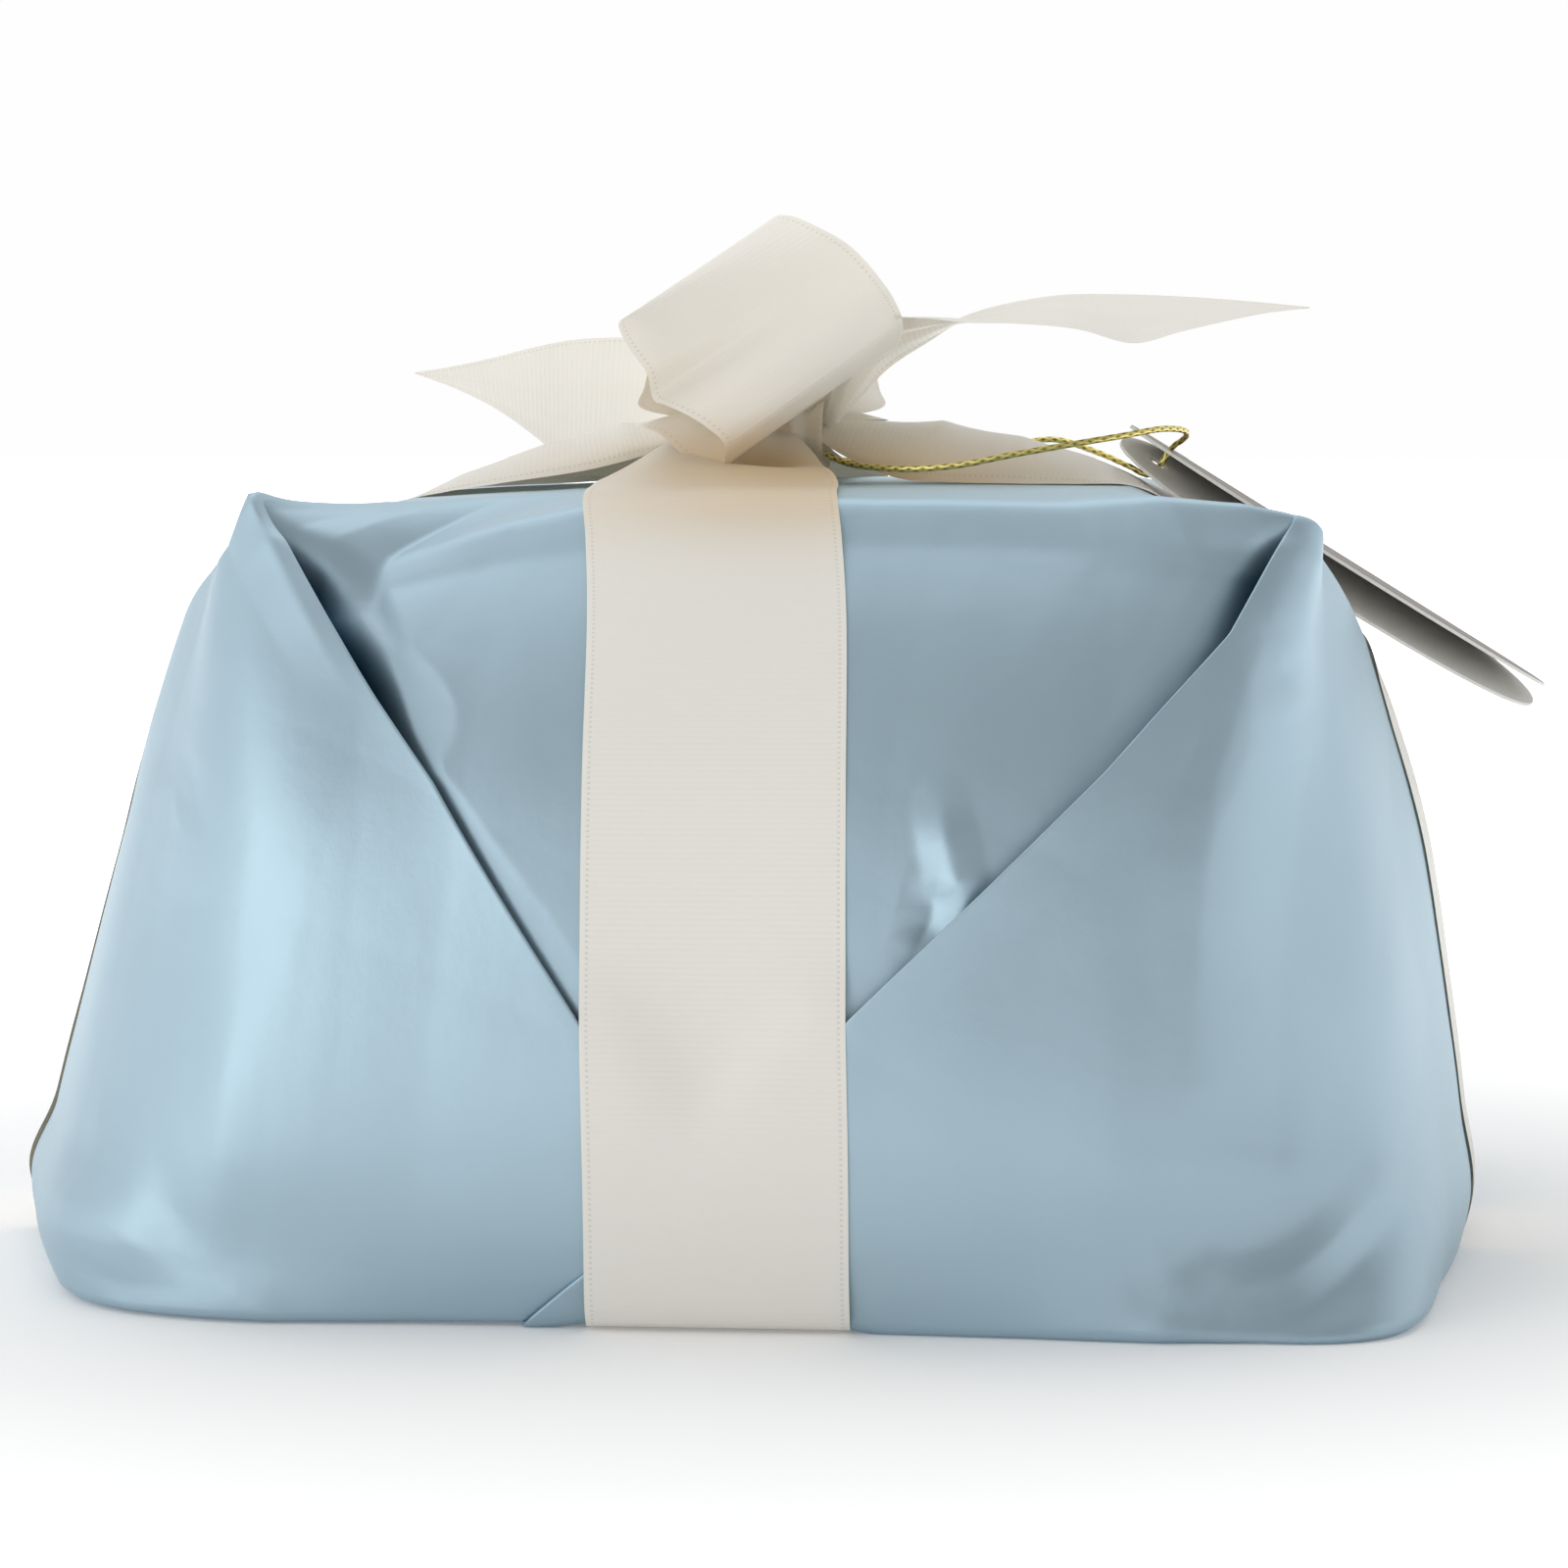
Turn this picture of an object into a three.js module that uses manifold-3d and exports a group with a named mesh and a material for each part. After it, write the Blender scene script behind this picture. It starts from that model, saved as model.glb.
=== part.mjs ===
// A gift-wrapped panettone: a low loaf in its baking case, one sheet of folded pearl paper round it,
// an ivory satin ribbon tied in a bow, and a folded gift tag on a gold cord.
// Millimetres, +Z up. The origin is under the middle of the parcel, on the surface it stands on.
// -Y is the front, where the paper's side flaps cross in a V, and +X is the side the tag hangs on.
import * as THREE from "three";
import { mergeVertices } from "three/addons/utils/BufferGeometryUtils.js";
import Module from "manifold-3d";

const wasm = await Module();
wasm.setup();

// ---- driving dimensions ----
const RIBBON_WIDTH = 38;
const RIBBON_THICKNESS = 0.5;
const PAPER_CLEARANCE = 1.3; // from the paper's face to the middle of the ribbon on it
const PAPER_BOTTOM = 1.7; // the paper's underside stands this high, on the two ribbons that cross below it
const PAPER_WALL = 2.4; // the folded layers of paper together, with the air between them
const PAPER_OPENING_RADIUS = 17; // left where the folded edges meet below the base, behind the crossed ribbons
const TOP_HEIGHT = 119.6;
const SHOULDER_DROP = 25; // how far the top slopes down to the middle of each side
const RIM_DROP = 2; // and how far its rim lies below it all round
const LOAF_RADIUS = 88;
const LOAF_SIDE_HEIGHT = 56;
const LOAF_TOP = 113;
const CASE_WALL = 0.9;
const CASE_HEIGHT = 53;
const CASE_PLEAT_DEPTH = 0.7;
const KNOT_CENTRE = new THREE.Vector3(6, -2, 127);
const KNOT_RADII = new THREE.Vector3(7.5, 6.5, 5);
const CORD_DIAMETER = 1;
const CORD_SIDES = 8;
const TAG_LENGTH = 78;
const TAG_WIDTH = 36;
const TAG_LEAF_THICKNESS = 0.6;
const TAG_SLOPE = 32.5; // degrees that the tag runs down over the parcel's shoulder
const TAG_ROLLS = [-1.5, 5.5]; // degrees that the upper and the lower leaf drop from the fold to the near edge

const materials = {
  crumb: new THREE.MeshStandardMaterial({ color: 0xb9763a, roughness: 0.9, metalness: 0 }),
  mould: new THREE.MeshStandardMaterial({ color: 0x6b4528, roughness: 0.8, metalness: 0 }),
  pearl: new THREE.MeshStandardMaterial({ color: 0xa5c0cd, roughness: 0.4, metalness: 0.35 }),
  satin: new THREE.MeshStandardMaterial({ color: 0xe9e4d8, roughness: 0.45, metalness: 0 }),
  gold: new THREE.MeshStandardMaterial({ color: 0xa89a55, roughness: 0.35, metalness: 0.9 }),
  card: new THREE.MeshStandardMaterial({ color: 0xd3d3d0, roughness: 0.6, metalness: 0 }),
};

const panettone = new THREE.Group();

function addPiece(name, geometry, material) {
  const piece = new THREE.Mesh(geometry, material);
  piece.name = name;
  panettone.add(piece);
  return piece;
}

function toSolid(geometry) {
  const bare = new THREE.BufferGeometry();
  bare.setAttribute("position", geometry.getAttribute("position").clone());
  bare.setIndex(geometry.getIndex());
  const merged = mergeVertices(bare, 1e-4);
  return new wasm.Manifold(
    new wasm.Mesh({
      numProp: 3,
      vertProperties: new Float32Array(merged.getAttribute("position").array),
      triVerts: new Uint32Array(merged.getIndex().array),
    }),
  );
}

function toGeometry(solid) {
  const mesh = solid.getMesh();
  const geometry = new THREE.BufferGeometry();
  geometry.setAttribute("position", new THREE.BufferAttribute(mesh.vertProperties, 3));
  geometry.setIndex(new THREE.BufferAttribute(mesh.triVerts, 1));
  geometry.computeVertexNormals();
  return geometry;
}

// ---- the loaf, baked as one piece ----
const loafBottom = PAPER_BOTTOM + PAPER_WALL + CASE_WALL + 0.8;
const domePoints = Array.from({ length: 13 }, (_, i) => {
  const turn = (i / 12) * (Math.PI / 2);
  const rise = LOAF_TOP - PAPER_WALL - 1.5 - LOAF_SIDE_HEIGHT;
  return new THREE.Vector2(
    LOAF_RADIUS * Math.cos(turn),
    LOAF_SIDE_HEIGHT + rise * Math.sin(turn),
  );
});
domePoints[12].x = 0;
const loafProfile = [new THREE.Vector2(0, loafBottom), new THREE.Vector2(LOAF_RADIUS - 3, loafBottom)];
loafProfile.push(new THREE.Vector2(LOAF_RADIUS, loafBottom + 3), ...domePoints);
const loaf = new THREE.LatheGeometry(loafProfile, 56);
loaf.rotateX(Math.PI / 2);
addPiece("panettone_loaf", loaf, materials.crumb);

// ---- the baking case: a paper cup with pleated sides, open at the top ----
const caseInner = LOAF_RADIUS + 0.5 + CASE_PLEAT_DEPTH;
const caseBottom = loafBottom - 0.4 - CASE_WALL;
const caseProfile = [
  new THREE.Vector2(0, caseBottom),
  new THREE.Vector2(caseInner + CASE_WALL, caseBottom),
  new THREE.Vector2(caseInner + CASE_WALL, CASE_HEIGHT),
  new THREE.Vector2(caseInner, CASE_HEIGHT),
  new THREE.Vector2(caseInner, caseBottom + CASE_WALL),
  new THREE.Vector2(0, caseBottom + CASE_WALL),
];
const PLEATS = 48;
const bakingCase = new THREE.LatheGeometry(caseProfile, PLEATS * 2);
bakingCase.rotateX(Math.PI / 2);
const casePoints = bakingCase.getAttribute("position");
for (let i = 0; i < casePoints.count; i += 1) {
  const radius = Math.hypot(casePoints.getX(i), casePoints.getY(i));
  if (radius > caseInner - 1) {
    const turn = Math.atan2(casePoints.getY(i), casePoints.getX(i));
    const pleated = (radius + CASE_PLEAT_DEPTH * Math.cos(turn * PLEATS)) / radius;
    casePoints.setXY(i, casePoints.getX(i) * pleated, casePoints.getY(i) * pleated);
  }
}
addPiece("baking_case", bakingCase, materials.mould);

// ---- the wrapping paper ----
// Each meridian runs from the foot of the parcel up to the rim of its top: x and y at each level.
// The front ones are given; the back ones mirror them, because the sheet is folded alike at both ends.
const LEVEL_SHARES = [0, 0.055, 0.215, 0.43, 0.68, 0.86, 1]; // of the height of the rim above
const FRONT_MERIDIANS = [
  { x: [-110, -114.6, -111.4, -106.2, -100, -95.6, -91], y: [0, 0, 0, 0, 0, 0, 0] },
  { x: [-102, -105.3, -103, -98.8, -93.2, -88.9, -84.6], y: [-48, -48, -42, -38, -36, -34, -32] },
  { x: [-92, -94, -92, -88.5, -83.5, -79.5, -76.5], y: [-82, -82, -74, -68, -62, -56, -50] },
  { x: [-70, -71, -69, -66, -65, -65.5, -67.5], y: [-95, -94, -95, -92, -86, -76, -63] },
  { x: [-34, -34, -34, -33, -33, -32, -32], y: [-95, -97, -99.5, -98, -90, -76, -60] },
  { x: [5, 5, 5, 4, 4, 3, 3], y: [-95, -98, -101, -98.5, -90.5, -77, -60.5] },
  { x: [44, 44, 44, 44, 44, 44, 44], y: [-97, -98.5, -101, -98.5, -90.5, -77, -60.5] },
  { x: [73, 72, 71, 72, 76, 82, 86.5], y: [-99, -97, -97.5, -94, -86, -75, -63] },
  { x: [101, 101, 98, 97, 94, 92, 91], y: [-93, -86, -80, -73, -65, -58, -50] },
  { x: [109.5, 110.8, 109.5, 107, 103, 99, 96], y: [-50, -48, -44, -40, -37, -34, -32] },
  { x: [114.3, 116.2, 115, 112.6, 109.2, 104.6, 99.8], y: [0, 0, 0, 0, 0, 0, 0] },
];
const AROUND = 80;
const UP = 14;
const CAP_RINGS = [0.93, 0.85, 0.74, 0.5, 0.25];

// The height of the parcel's top; share is 1 on its rim and 0 in the middle.
function topHeight(x, y, share) {
  const outwards = Math.max(0, x < 0 ? (-x - 50) / 46 : (x - 62) / 39) ** 1.15;
  const midway = Math.max(0, 1 - (y / 64) ** 2);
  const leftwards = 0.0004 * Math.max(0, 22 - x) ** 2;
  return TOP_HEIGHT - leftwards - SHOULDER_DROP * outwards * midway - RIM_DROP * share ** 6;
}

function meridianRing(level) {
  const place = (m, side) => {
    const rise = topHeight(m.x[6], m.y[6], 1) - PAPER_BOTTOM;
    return new THREE.Vector3(m.x[level], side * m.y[level], PAPER_BOTTOM + rise * LEVEL_SHARES[level]);
  };
  const front = FRONT_MERIDIANS.map((m) => place(m, 1));
  const back = FRONT_MERIDIANS.slice(1, -1)
    .reverse()
    .map((m) => place(m, -1));
  const points = [...front, ...back];
  const ring = new THREE.CatmullRomCurve3(points, true, "centripetal");
  return Array.from({ length: AROUND }, (_, i) => ring.getPoint(i / AROUND));
}

// The rings of points of the parcel's outside, from the foot to the middle of the top.
// inset draws them in, for the inside of the wrapper.
function parcelRings(inset) {
  const levels = FRONT_MERIDIANS[0].x.map((_, level) => meridianRing(level));
  const columns = Array.from({ length: AROUND }, (_, i) =>
    new THREE.CatmullRomCurve3(levels.map((ring) => ring[i]), false, "centripetal").getPoints(UP - 1),
  );
  const rings = Array.from({ length: UP }, (_, j) => columns.map((column) => column[j].clone()));
  const rim = rings[UP - 1];
  CAP_RINGS.forEach((share) => {
    rings.push(rim.map((p) => new THREE.Vector3(p.x * share, p.y * share, topHeight(p.x * share, p.y * share, share))));
  });
  rings.forEach((ring) =>
    ring.forEach((p) => {
      const radius = Math.hypot(p.x, p.y);
      const drawn = Math.max(0, 1 - inset / Math.max(radius, 1));
      p.x *= drawn;
      p.y *= drawn;
      p.z = Math.max(PAPER_BOTTOM + inset, Math.min(p.z, p.z - inset * (p.z / TOP_HEIGHT) ** 2));
    }),
  );
  return rings;
}

function closedFromRings(rings, topHeight, bottomHeight) {
  const positions = rings.flat().flatMap((p) => [p.x, p.y, p.z]);
  const around = rings[0].length;
  const topCentre = rings.length * around;
  const bottomCentre = topCentre + 1;
  positions.push(0, 0, topHeight, 0, 0, bottomHeight);
  const faces = [];
  for (let i = 0; i < around; i += 1) {
    const next = (i + 1) % around;
    for (let j = 0; j < rings.length - 1; j += 1) {
      const a = j * around + i;
      const b = j * around + next;
      faces.push(a, b, b + around, a, b + around, a + around);
    }
    const last = (rings.length - 1) * around;
    faces.push(last + i, last + next, topCentre);
    faces.push(next, i, bottomCentre);
  }
  const geometry = new THREE.BufferGeometry();
  geometry.setAttribute("position", new THREE.Float32BufferAttribute(positions, 3));
  geometry.setIndex(faces);
  return geometry;
}

const outside = toSolid(closedFromRings(parcelRings(0), TOP_HEIGHT, PAPER_BOTTOM));
const innerTop = TOP_HEIGHT - PAPER_WALL;
const inside = toSolid(closedFromRings(parcelRings(PAPER_WALL), innerTop, PAPER_BOTTOM + PAPER_WALL));
const openingTool = new THREE.CylinderGeometry(PAPER_OPENING_RADIUS, PAPER_OPENING_RADIUS, 3 * PAPER_WALL, 32);
openingTool.rotateX(Math.PI / 2).translate(0, 0, PAPER_BOTTOM);
const wrapper = outside.subtract(inside).subtract(toSolid(openingTool));
addPiece("wrapping_paper", toGeometry(wrapper), materials.pearl);

// ---- the ribbon ----
// A stretch of ribbon follows hand-set stations: a point on its middle line, the direction of its width,
// and its half width there, which is less where it is gathered into the knot.
function ribbonStretch(stations, steps) {
  const middle = new THREE.CatmullRomCurve3(stations.map((s) => new THREE.Vector3(...s.at)), false, "centripetal");
  const across = new THREE.CatmullRomCurve3(
    stations.map((s) => new THREE.Vector3(...s.across).normalize().multiplyScalar(s.half ?? RIBBON_WIDTH / 2)),
    false,
    "catmullrom",
  );
  const positions = [];
  for (let i = 0; i <= steps; i += 1) {
    const t = i / steps;
    const point = middle.getPoint(t);
    const tangent = middle.getTangent(t);
    const half = across.getPoint(t);
    const length = half.length();
    half.addScaledVector(tangent, -half.dot(tangent)).setLength(length);
    const lift = new THREE.Vector3().crossVectors(tangent, half).setLength(RIBBON_THICKNESS / 2);
    [
      [1, 1],
      [1, -1],
      [-1, -1],
      [-1, 1],
    ].forEach(([side, face]) => {
      const corner = point.clone().addScaledVector(half, side).addScaledVector(lift, face);
      positions.push(corner.x, corner.y, Math.max(0, corner.z)); // never below the ground
    });
  }
  const faces = [];
  for (let i = 0; i < steps; i += 1) {
    for (let k = 0; k < 4; k += 1) {
      const a = i * 4 + k;
      const b = i * 4 + ((k + 1) % 4);
      faces.push(a, b, b + 4, a, b + 4, a + 4);
    }
  }
  const end = steps * 4;
  faces.push(0, 3, 2, 0, 2, 1);
  faces.push(end, end + 1, end + 2, end, end + 2, end + 3);
  const geometry = new THREE.BufferGeometry();
  geometry.setAttribute("position", new THREE.Float32BufferAttribute(positions, 3));
  geometry.setIndex(faces);
  return outward(geometry);
}

// Turns a closed geometry's faces to point outwards.
function outward(geometry) {
  const solid = toSolid(geometry);
  if (solid.volume() < 0) {
    const index = geometry.getIndex();
    for (let i = 0; i < index.count; i += 3) {
      const first = index.getX(i);
      index.setX(i, index.getX(i + 1));
      index.setX(i + 1, first);
    }
  }
  geometry.computeVertexNormals();
  return geometry;
}

const flatUnder = RIBBON_THICKNESS / 2; // the middle line of a ribbon that lies on the ground
const overCrossing = flatUnder + RIBBON_THICKNESS + 0.3;
const c = PAPER_CLEARANCE;

// Front to back: down the front, under the loaf and up the back, with both ends at the knot.
const frontRun = [
  { at: [6, -10, 125], half: 6 },
  { at: [5.5, -17, 122.8], half: 13 },
  { at: [4, -32, 122.4] },
  { at: [3, -52, 121] },
  { at: [3, -61.5 - c, 117.2] },
  { at: [3, -77 - c, 101.5] },
  { at: [4, -91 - c, 79] },
  { at: [4, -98.8 - c, 50] },
  { at: [5, -101.4 - c, 26] },
  { at: [5, -99 - c, 8] },
  { at: [5, -96.3 - c, 1.6] },
  { at: [5, -90, flatUnder] },
  { at: [5, -60, flatUnder] },
];
const backRun = frontRun.map((s) => ({ ...s, at: [s.at[0], -s.at[1], s.at[2]] })).reverse();
backRun[backRun.length - 1].at = [6, 6.5, 125];
const endToEnd = [...frontRun, { at: [5, 0, flatUnder] }, ...backRun].map((s) => ({ ...s, across: [1, 0, 0] }));
addPiece("ribbon_front_back_band", ribbonStretch(endToEnd, 110), materials.satin);

// Side to side: it passes over the first band below the loaf and arches up to the knot above.
const onTop = (x) => ({ at: [x, 0, topHeight(x, RIBBON_WIDTH / 2, Math.abs(x) / 98) + c] });
const sideToSide = [
  { at: [-4, -1, 128.5], half: 6 },
  { at: [-12, 0, 129.3], half: 14 },
  { at: [-26, 0, 127.4] },
  { at: [-42, 0, 124.2] },
  { at: [-57, 0, 121.8] },
  onTop(-68),
  onTop(-80),
  onTop(-88),
  { at: [-95.2 - c, 0, 82] },
  { at: [-100.3 - c, 0, 63] },
  { at: [-106.4 - c, 0, 41] },
  { at: [-111.6 - c, 0, 21.5] },
  { at: [-114.9 - c, 0, 8] },
  { at: [-111.4 - c, 0, 1.6] },
  { at: [-105, 0, flatUnder] },
  { at: [-60, 0, flatUnder] },
  { at: [-24, 0, flatUnder] },
  { at: [-17, 0, overCrossing] },
  { at: [5, 0, overCrossing] },
  { at: [27, 0, overCrossing] },
  { at: [34, 0, flatUnder] },
  { at: [60, 0, flatUnder] },
  { at: [108, 0, flatUnder] },
  { at: [115.3 + c, 0, 1.6] },
  { at: [116.5 + c, 0, 8] },
  { at: [115.3 + c, 0, 21.5] },
  { at: [112.9 + c, 0, 41] },
  { at: [109.4 + c, 0, 63] },
  { at: [104.4 + c, 0, 81] },
  { at: [101.2 + c, 0, 91.2] },
  onTop(97),
  onTop(84),
  onTop(72),
  { at: [60, 0, 121] },
  { at: [48, 0, 125.5] },
  { at: [31, 0, 128.4] },
  { at: [22, 0, 128.6], half: 13 },
  { at: [16, -1, 128], half: 6 },
].map((s) => ({ ...s, across: [0, 1, 0] }));
addPiece("ribbon_side_to_side_band", ribbonStretch(sideToSide, 130), materials.satin);

// The knot: the ribbon's two ends pulled tight over the crossing.
const knot = new THREE.SphereGeometry(1, 20, 12);
knot.rotateX(Math.PI / 2);
knot.scale(KNOT_RADII.x, KNOT_RADII.y, KNOT_RADII.z);
knot.translate(KNOT_CENTRE.x, KNOT_CENTRE.y, KNOT_CENTRE.z);
addPiece("bow_knot", knot, materials.satin);

// A loop of the bow is a flattened ring of ribbon. reach runs from the knot to the loop's bend,
// across is the direction of the ribbon's width, and swell is the way the loop's upper layer faces.
function loopStations(centre, reach, across, length, thickness) {
  const out = new THREE.Vector3(...reach).normalize();
  const width = new THREE.Vector3(...across).normalize();
  const swell = new THREE.Vector3().crossVectors(width, out).normalize();
  return [
    [-0.4, -0.32],
    [-0.25, -0.42],
    [0.1, -0.5],
    [0.38, -0.34],
    [0.5, 0],
    [0.38, 0.36],
    [0.1, 0.5],
    [-0.25, 0.42],
    [-0.44, 0.22],
    [-0.5, -0.06],
  ].map(([along, up]) => {
    const at = new THREE.Vector3(...centre).addScaledVector(out, along * length).addScaledVector(swell, up * thickness);
    return { at: at.toArray(), across: width.toArray() };
  });
}
const frontLoop = loopStations([3.5, -20, 144.3], [-0.56, 0, 0.83], [0.66, 0.6, 0.45], 31, 8);
addPiece("bow_front_loop", ribbonStretch(frontLoop, 44), materials.satin);
const backLoop = loopStations([9, 27, 143], [-0.3, 0.55, 0.6], [0.83, 0.55, -0.1], 30, 8);
addPiece("bow_back_loop", ribbonStretch(backLoop, 44), materials.satin);

// The tails reach out to both sides of the knot and end in slanting cuts.
const leftTail = [
  { at: [-7, 12, 130.4], across: [0, 0.79, 0.61], half: 6 },
  { at: [-12.5, 22, 132], across: [0, 0.79, 0.61], half: 13 },
  { at: [-20, 31.5, 132.4], across: [-0.05, 0.81, 0.59], half: 17.3 },
  { at: [-31.7, 34, 131.8], across: [-0.1, 0.81, 0.57], half: 18 },
  { at: [-39.2, 36.7, 133.4], across: [-0.13, 0.81, 0.56], half: 13 },
  { at: [-46.5, 39.7, 134.7], across: [-0.15, 0.83, 0.53], half: 8 },
  { at: [-58.5, 43.2, 136.3], across: [-0.1, 0.85, 0.5], half: 2 },
];
addPiece("bow_left_tail", ribbonStretch(leftTail, 24), materials.satin);
const rightTail = [
  { at: [16, 3, 134.5], across: [0.1, 1, 0.2], half: 5 },
  { at: [24, 1, 139], across: [0, 1, 0.55], half: 12 },
  { at: [36, -1, 144], across: [0, 1, 0.12] },
  { at: [50, -2, 146.5], across: [0, 1, 0.18] },
  { at: [64, -2, 146.5], across: [0, 1, 0.22] },
  { at: [77, 1, 147], across: [0.1, 1, 0.2], half: 14 },
  { at: [89, 5, 148], across: [0.1, 1, 0.1], half: 4 },
];
addPiece("bow_right_tail", ribbonStretch(rightTail, 30), materials.satin);

// ---- the gift tag: one card folded along its far side, lying down over the parcel's right shoulder ----
const TAG_END = new THREE.Vector3(61.5, 24, 128.2); // the upper corner of its fold
const HOLE_FROM_END = 7;

// A leaf lies in the XY plane with its fold on y = 0, straight between two rounded ends.
function tagLeaf() {
  const outline = new THREE.Shape();
  const middle = -TAG_WIDTH / 2;
  outline.moveTo(22, 0);
  outline.bezierCurveTo(8, 0, 0, middle * 0.45, 0, middle);
  outline.bezierCurveTo(0, middle * 1.6, 12, -TAG_WIDTH, 34, -TAG_WIDTH);
  outline.bezierCurveTo(60, -TAG_WIDTH, TAG_LENGTH, middle * 1.7, TAG_LENGTH, middle);
  outline.bezierCurveTo(TAG_LENGTH, middle * 0.4, 68, 0, 54, 0);
  outline.closePath();
  const hole = new THREE.Path();
  hole.absarc(HOLE_FROM_END, middle, 1.8, 0, Math.PI * 2, true);
  outline.holes.push(hole);
  return new THREE.ExtrudeGeometry(outline, { depth: TAG_LEAF_THICKNESS, bevelEnabled: false, curveSegments: 8 });
}
const leaves = TAG_ROLLS.map((roll) => toSolid(tagLeaf().rotateX(THREE.MathUtils.degToRad(roll))));
const tag = toGeometry(leaves[0].add(leaves[1]));
tag.rotateY(THREE.MathUtils.degToRad(TAG_SLOPE));
tag.translate(TAG_END.x, TAG_END.y, TAG_END.z);
addPiece("gift_tag", tag, materials.card);

// ---- the gold cord: out of the knot, through the tag's hole and back into the knot ----
const CORD_ROUTE = [
  [13.4, -6.2, 124],
  [17, -11, 122.6],
  [22, -16.5, 122],
  [29, -20.8, 121.9],
  [36, -22.2, 122.6],
  [43, -22.4, 124],
  [52, -21.2, 125.6],
  [60.5, -17.5, 127],
  [66.6, -11, 128],
  [70.2, -3, 127.6],
  [70.2, 3, 126.4],
  [68, 6, 124.6],
  [66.3, 6.3, 122],
  [64.6, 7, 120.4],
  [60.8, 9.6, 121.9],
  [55, 15, 124.2],
  [48, 21.6, 125.8],
  [39, 24, 124],
  [29, 21.4, 122],
  [20, 14.6, 121.9],
  [12.6, 6.4, 123],
].map((p) => new THREE.Vector3(...p));
const cordLine = new THREE.CatmullRomCurve3(CORD_ROUTE, false, "centripetal");
const cordSection = new THREE.Shape(
  Array.from({ length: CORD_SIDES }, (_, i) => {
    const turn = (i / CORD_SIDES) * Math.PI * 2;
    return new THREE.Vector2(Math.cos(turn), Math.sin(turn)).multiplyScalar(CORD_DIAMETER / 2);
  }),
);
const cordSteps = Math.round(cordLine.getLength() / (2.5 * CORD_DIAMETER));
const cord = new THREE.ExtrudeGeometry(cordSection, { steps: cordSteps, extrudePath: cordLine, bevelEnabled: false });
addPiece("tag_cord", cord, materials.gold);

export default panettone;
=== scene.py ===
import math

import bpy
import numpy as np
from mathutils.bvhtree import BVHTree
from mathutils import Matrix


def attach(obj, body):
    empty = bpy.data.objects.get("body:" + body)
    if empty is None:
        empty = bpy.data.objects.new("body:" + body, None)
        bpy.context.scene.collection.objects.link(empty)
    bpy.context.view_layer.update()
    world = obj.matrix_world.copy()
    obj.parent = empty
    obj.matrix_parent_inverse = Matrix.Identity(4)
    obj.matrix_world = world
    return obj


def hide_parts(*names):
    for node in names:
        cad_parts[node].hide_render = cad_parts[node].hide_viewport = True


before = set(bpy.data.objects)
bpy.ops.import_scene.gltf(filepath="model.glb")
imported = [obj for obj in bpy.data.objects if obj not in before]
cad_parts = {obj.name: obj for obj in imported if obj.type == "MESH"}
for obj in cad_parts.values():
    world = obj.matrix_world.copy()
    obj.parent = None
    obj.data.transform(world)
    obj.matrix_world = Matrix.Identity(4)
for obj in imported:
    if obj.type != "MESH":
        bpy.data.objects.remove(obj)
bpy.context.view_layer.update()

mm = 0.001

# ---- the camera ----
# It stands 0.8 m in front of the parcel, a little to the right and just above the foot of the bow.
camera = bpy.data.objects.new("camera", bpy.data.cameras.new("camera"))
camera.data.lens = 114.3
camera.data.sensor_width = 36
camera.data.clip_start = 0.05
camera.location = (75.9 * mm, -796.4 * mm, 139.5 * mm)
camera.rotation_euler = (math.radians(85.08), 0, math.radians(5))
bpy.context.scene.collection.objects.link(camera)
bpy.context.scene.camera = camera


# ---- the gold cord ----
# A thin cord plaited from metallised yarn, 1 mm thick. It leaves the knot in front, passes through the
# hole of the tag, and comes back over the side band to the knot.
def smooth_at(knots, values, at):
    """Values at positions along the smooth cubic pieces that pass through (knots, values)."""
    knots, values, at = (np.asarray(a, float) for a in (knots, values, at))
    step = np.diff(knots)
    wide = (-1, *[1] * (values.ndim - 1))
    slope = np.diff(values, axis=0) / step.reshape(wide)
    share = (step[1:] / (step[1:] + step[:-1])).reshape(wide)
    tangent = np.concatenate([slope[:1], slope[:-1] * share + slope[1:] * (1 - share), slope[-1:]])
    i = np.clip(np.searchsorted(knots, at, side="right") - 1, 0, len(knots) - 2)
    f = ((at - knots[i]) / step[i]).reshape(wide)
    h = step[i].reshape(wide)
    start = values[i] * (1 + 2 * f) * (1 - f) ** 2 + tangent[i] * h * f * (1 - f) ** 2
    return start + values[i + 1] * f**2 * (3 - 2 * f) + tangent[i + 1] * h * f**2 * (f - 1)


def chord_knots(points):
    """Knots for smooth_at from how far apart the points are."""
    gaps = np.linalg.norm(np.diff(np.asarray(points, float)[:, :3], axis=0), axis=1)
    return np.concatenate([[0], np.cumsum(np.sqrt(gaps + 1e-9))])


def even_line(points, count):
    """The smooth line through points, as rows spaced evenly along it. Further columns follow along."""
    points = np.asarray(points, float)
    knots = chord_knots(points)
    fine = smooth_at(knots, points, np.linspace(0, knots[-1], 4000))
    gone = np.concatenate([[0], np.cumsum(np.linalg.norm(np.diff(fine[:, :3], axis=0), axis=1))])
    at = np.linspace(0, gone[-1], count)
    return np.stack([np.interp(at, gone, fine[:, k]) for k in range(fine.shape[1])], axis=1)


def grid_quads(rows, columns, closed=False):
    """The quads between rows of points; closed joins the end of each row to its start."""
    i, j = np.meshgrid(np.arange(rows - 1), np.arange(columns - (not closed)), indexing="ij")
    k = (j + 1) % columns
    this, following = i * columns, (i + 1) * columns
    quads = np.stack([this + j, this + k, following + k, following + j], axis=-1)
    return quads.reshape(-1, 4).tolist()


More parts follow.
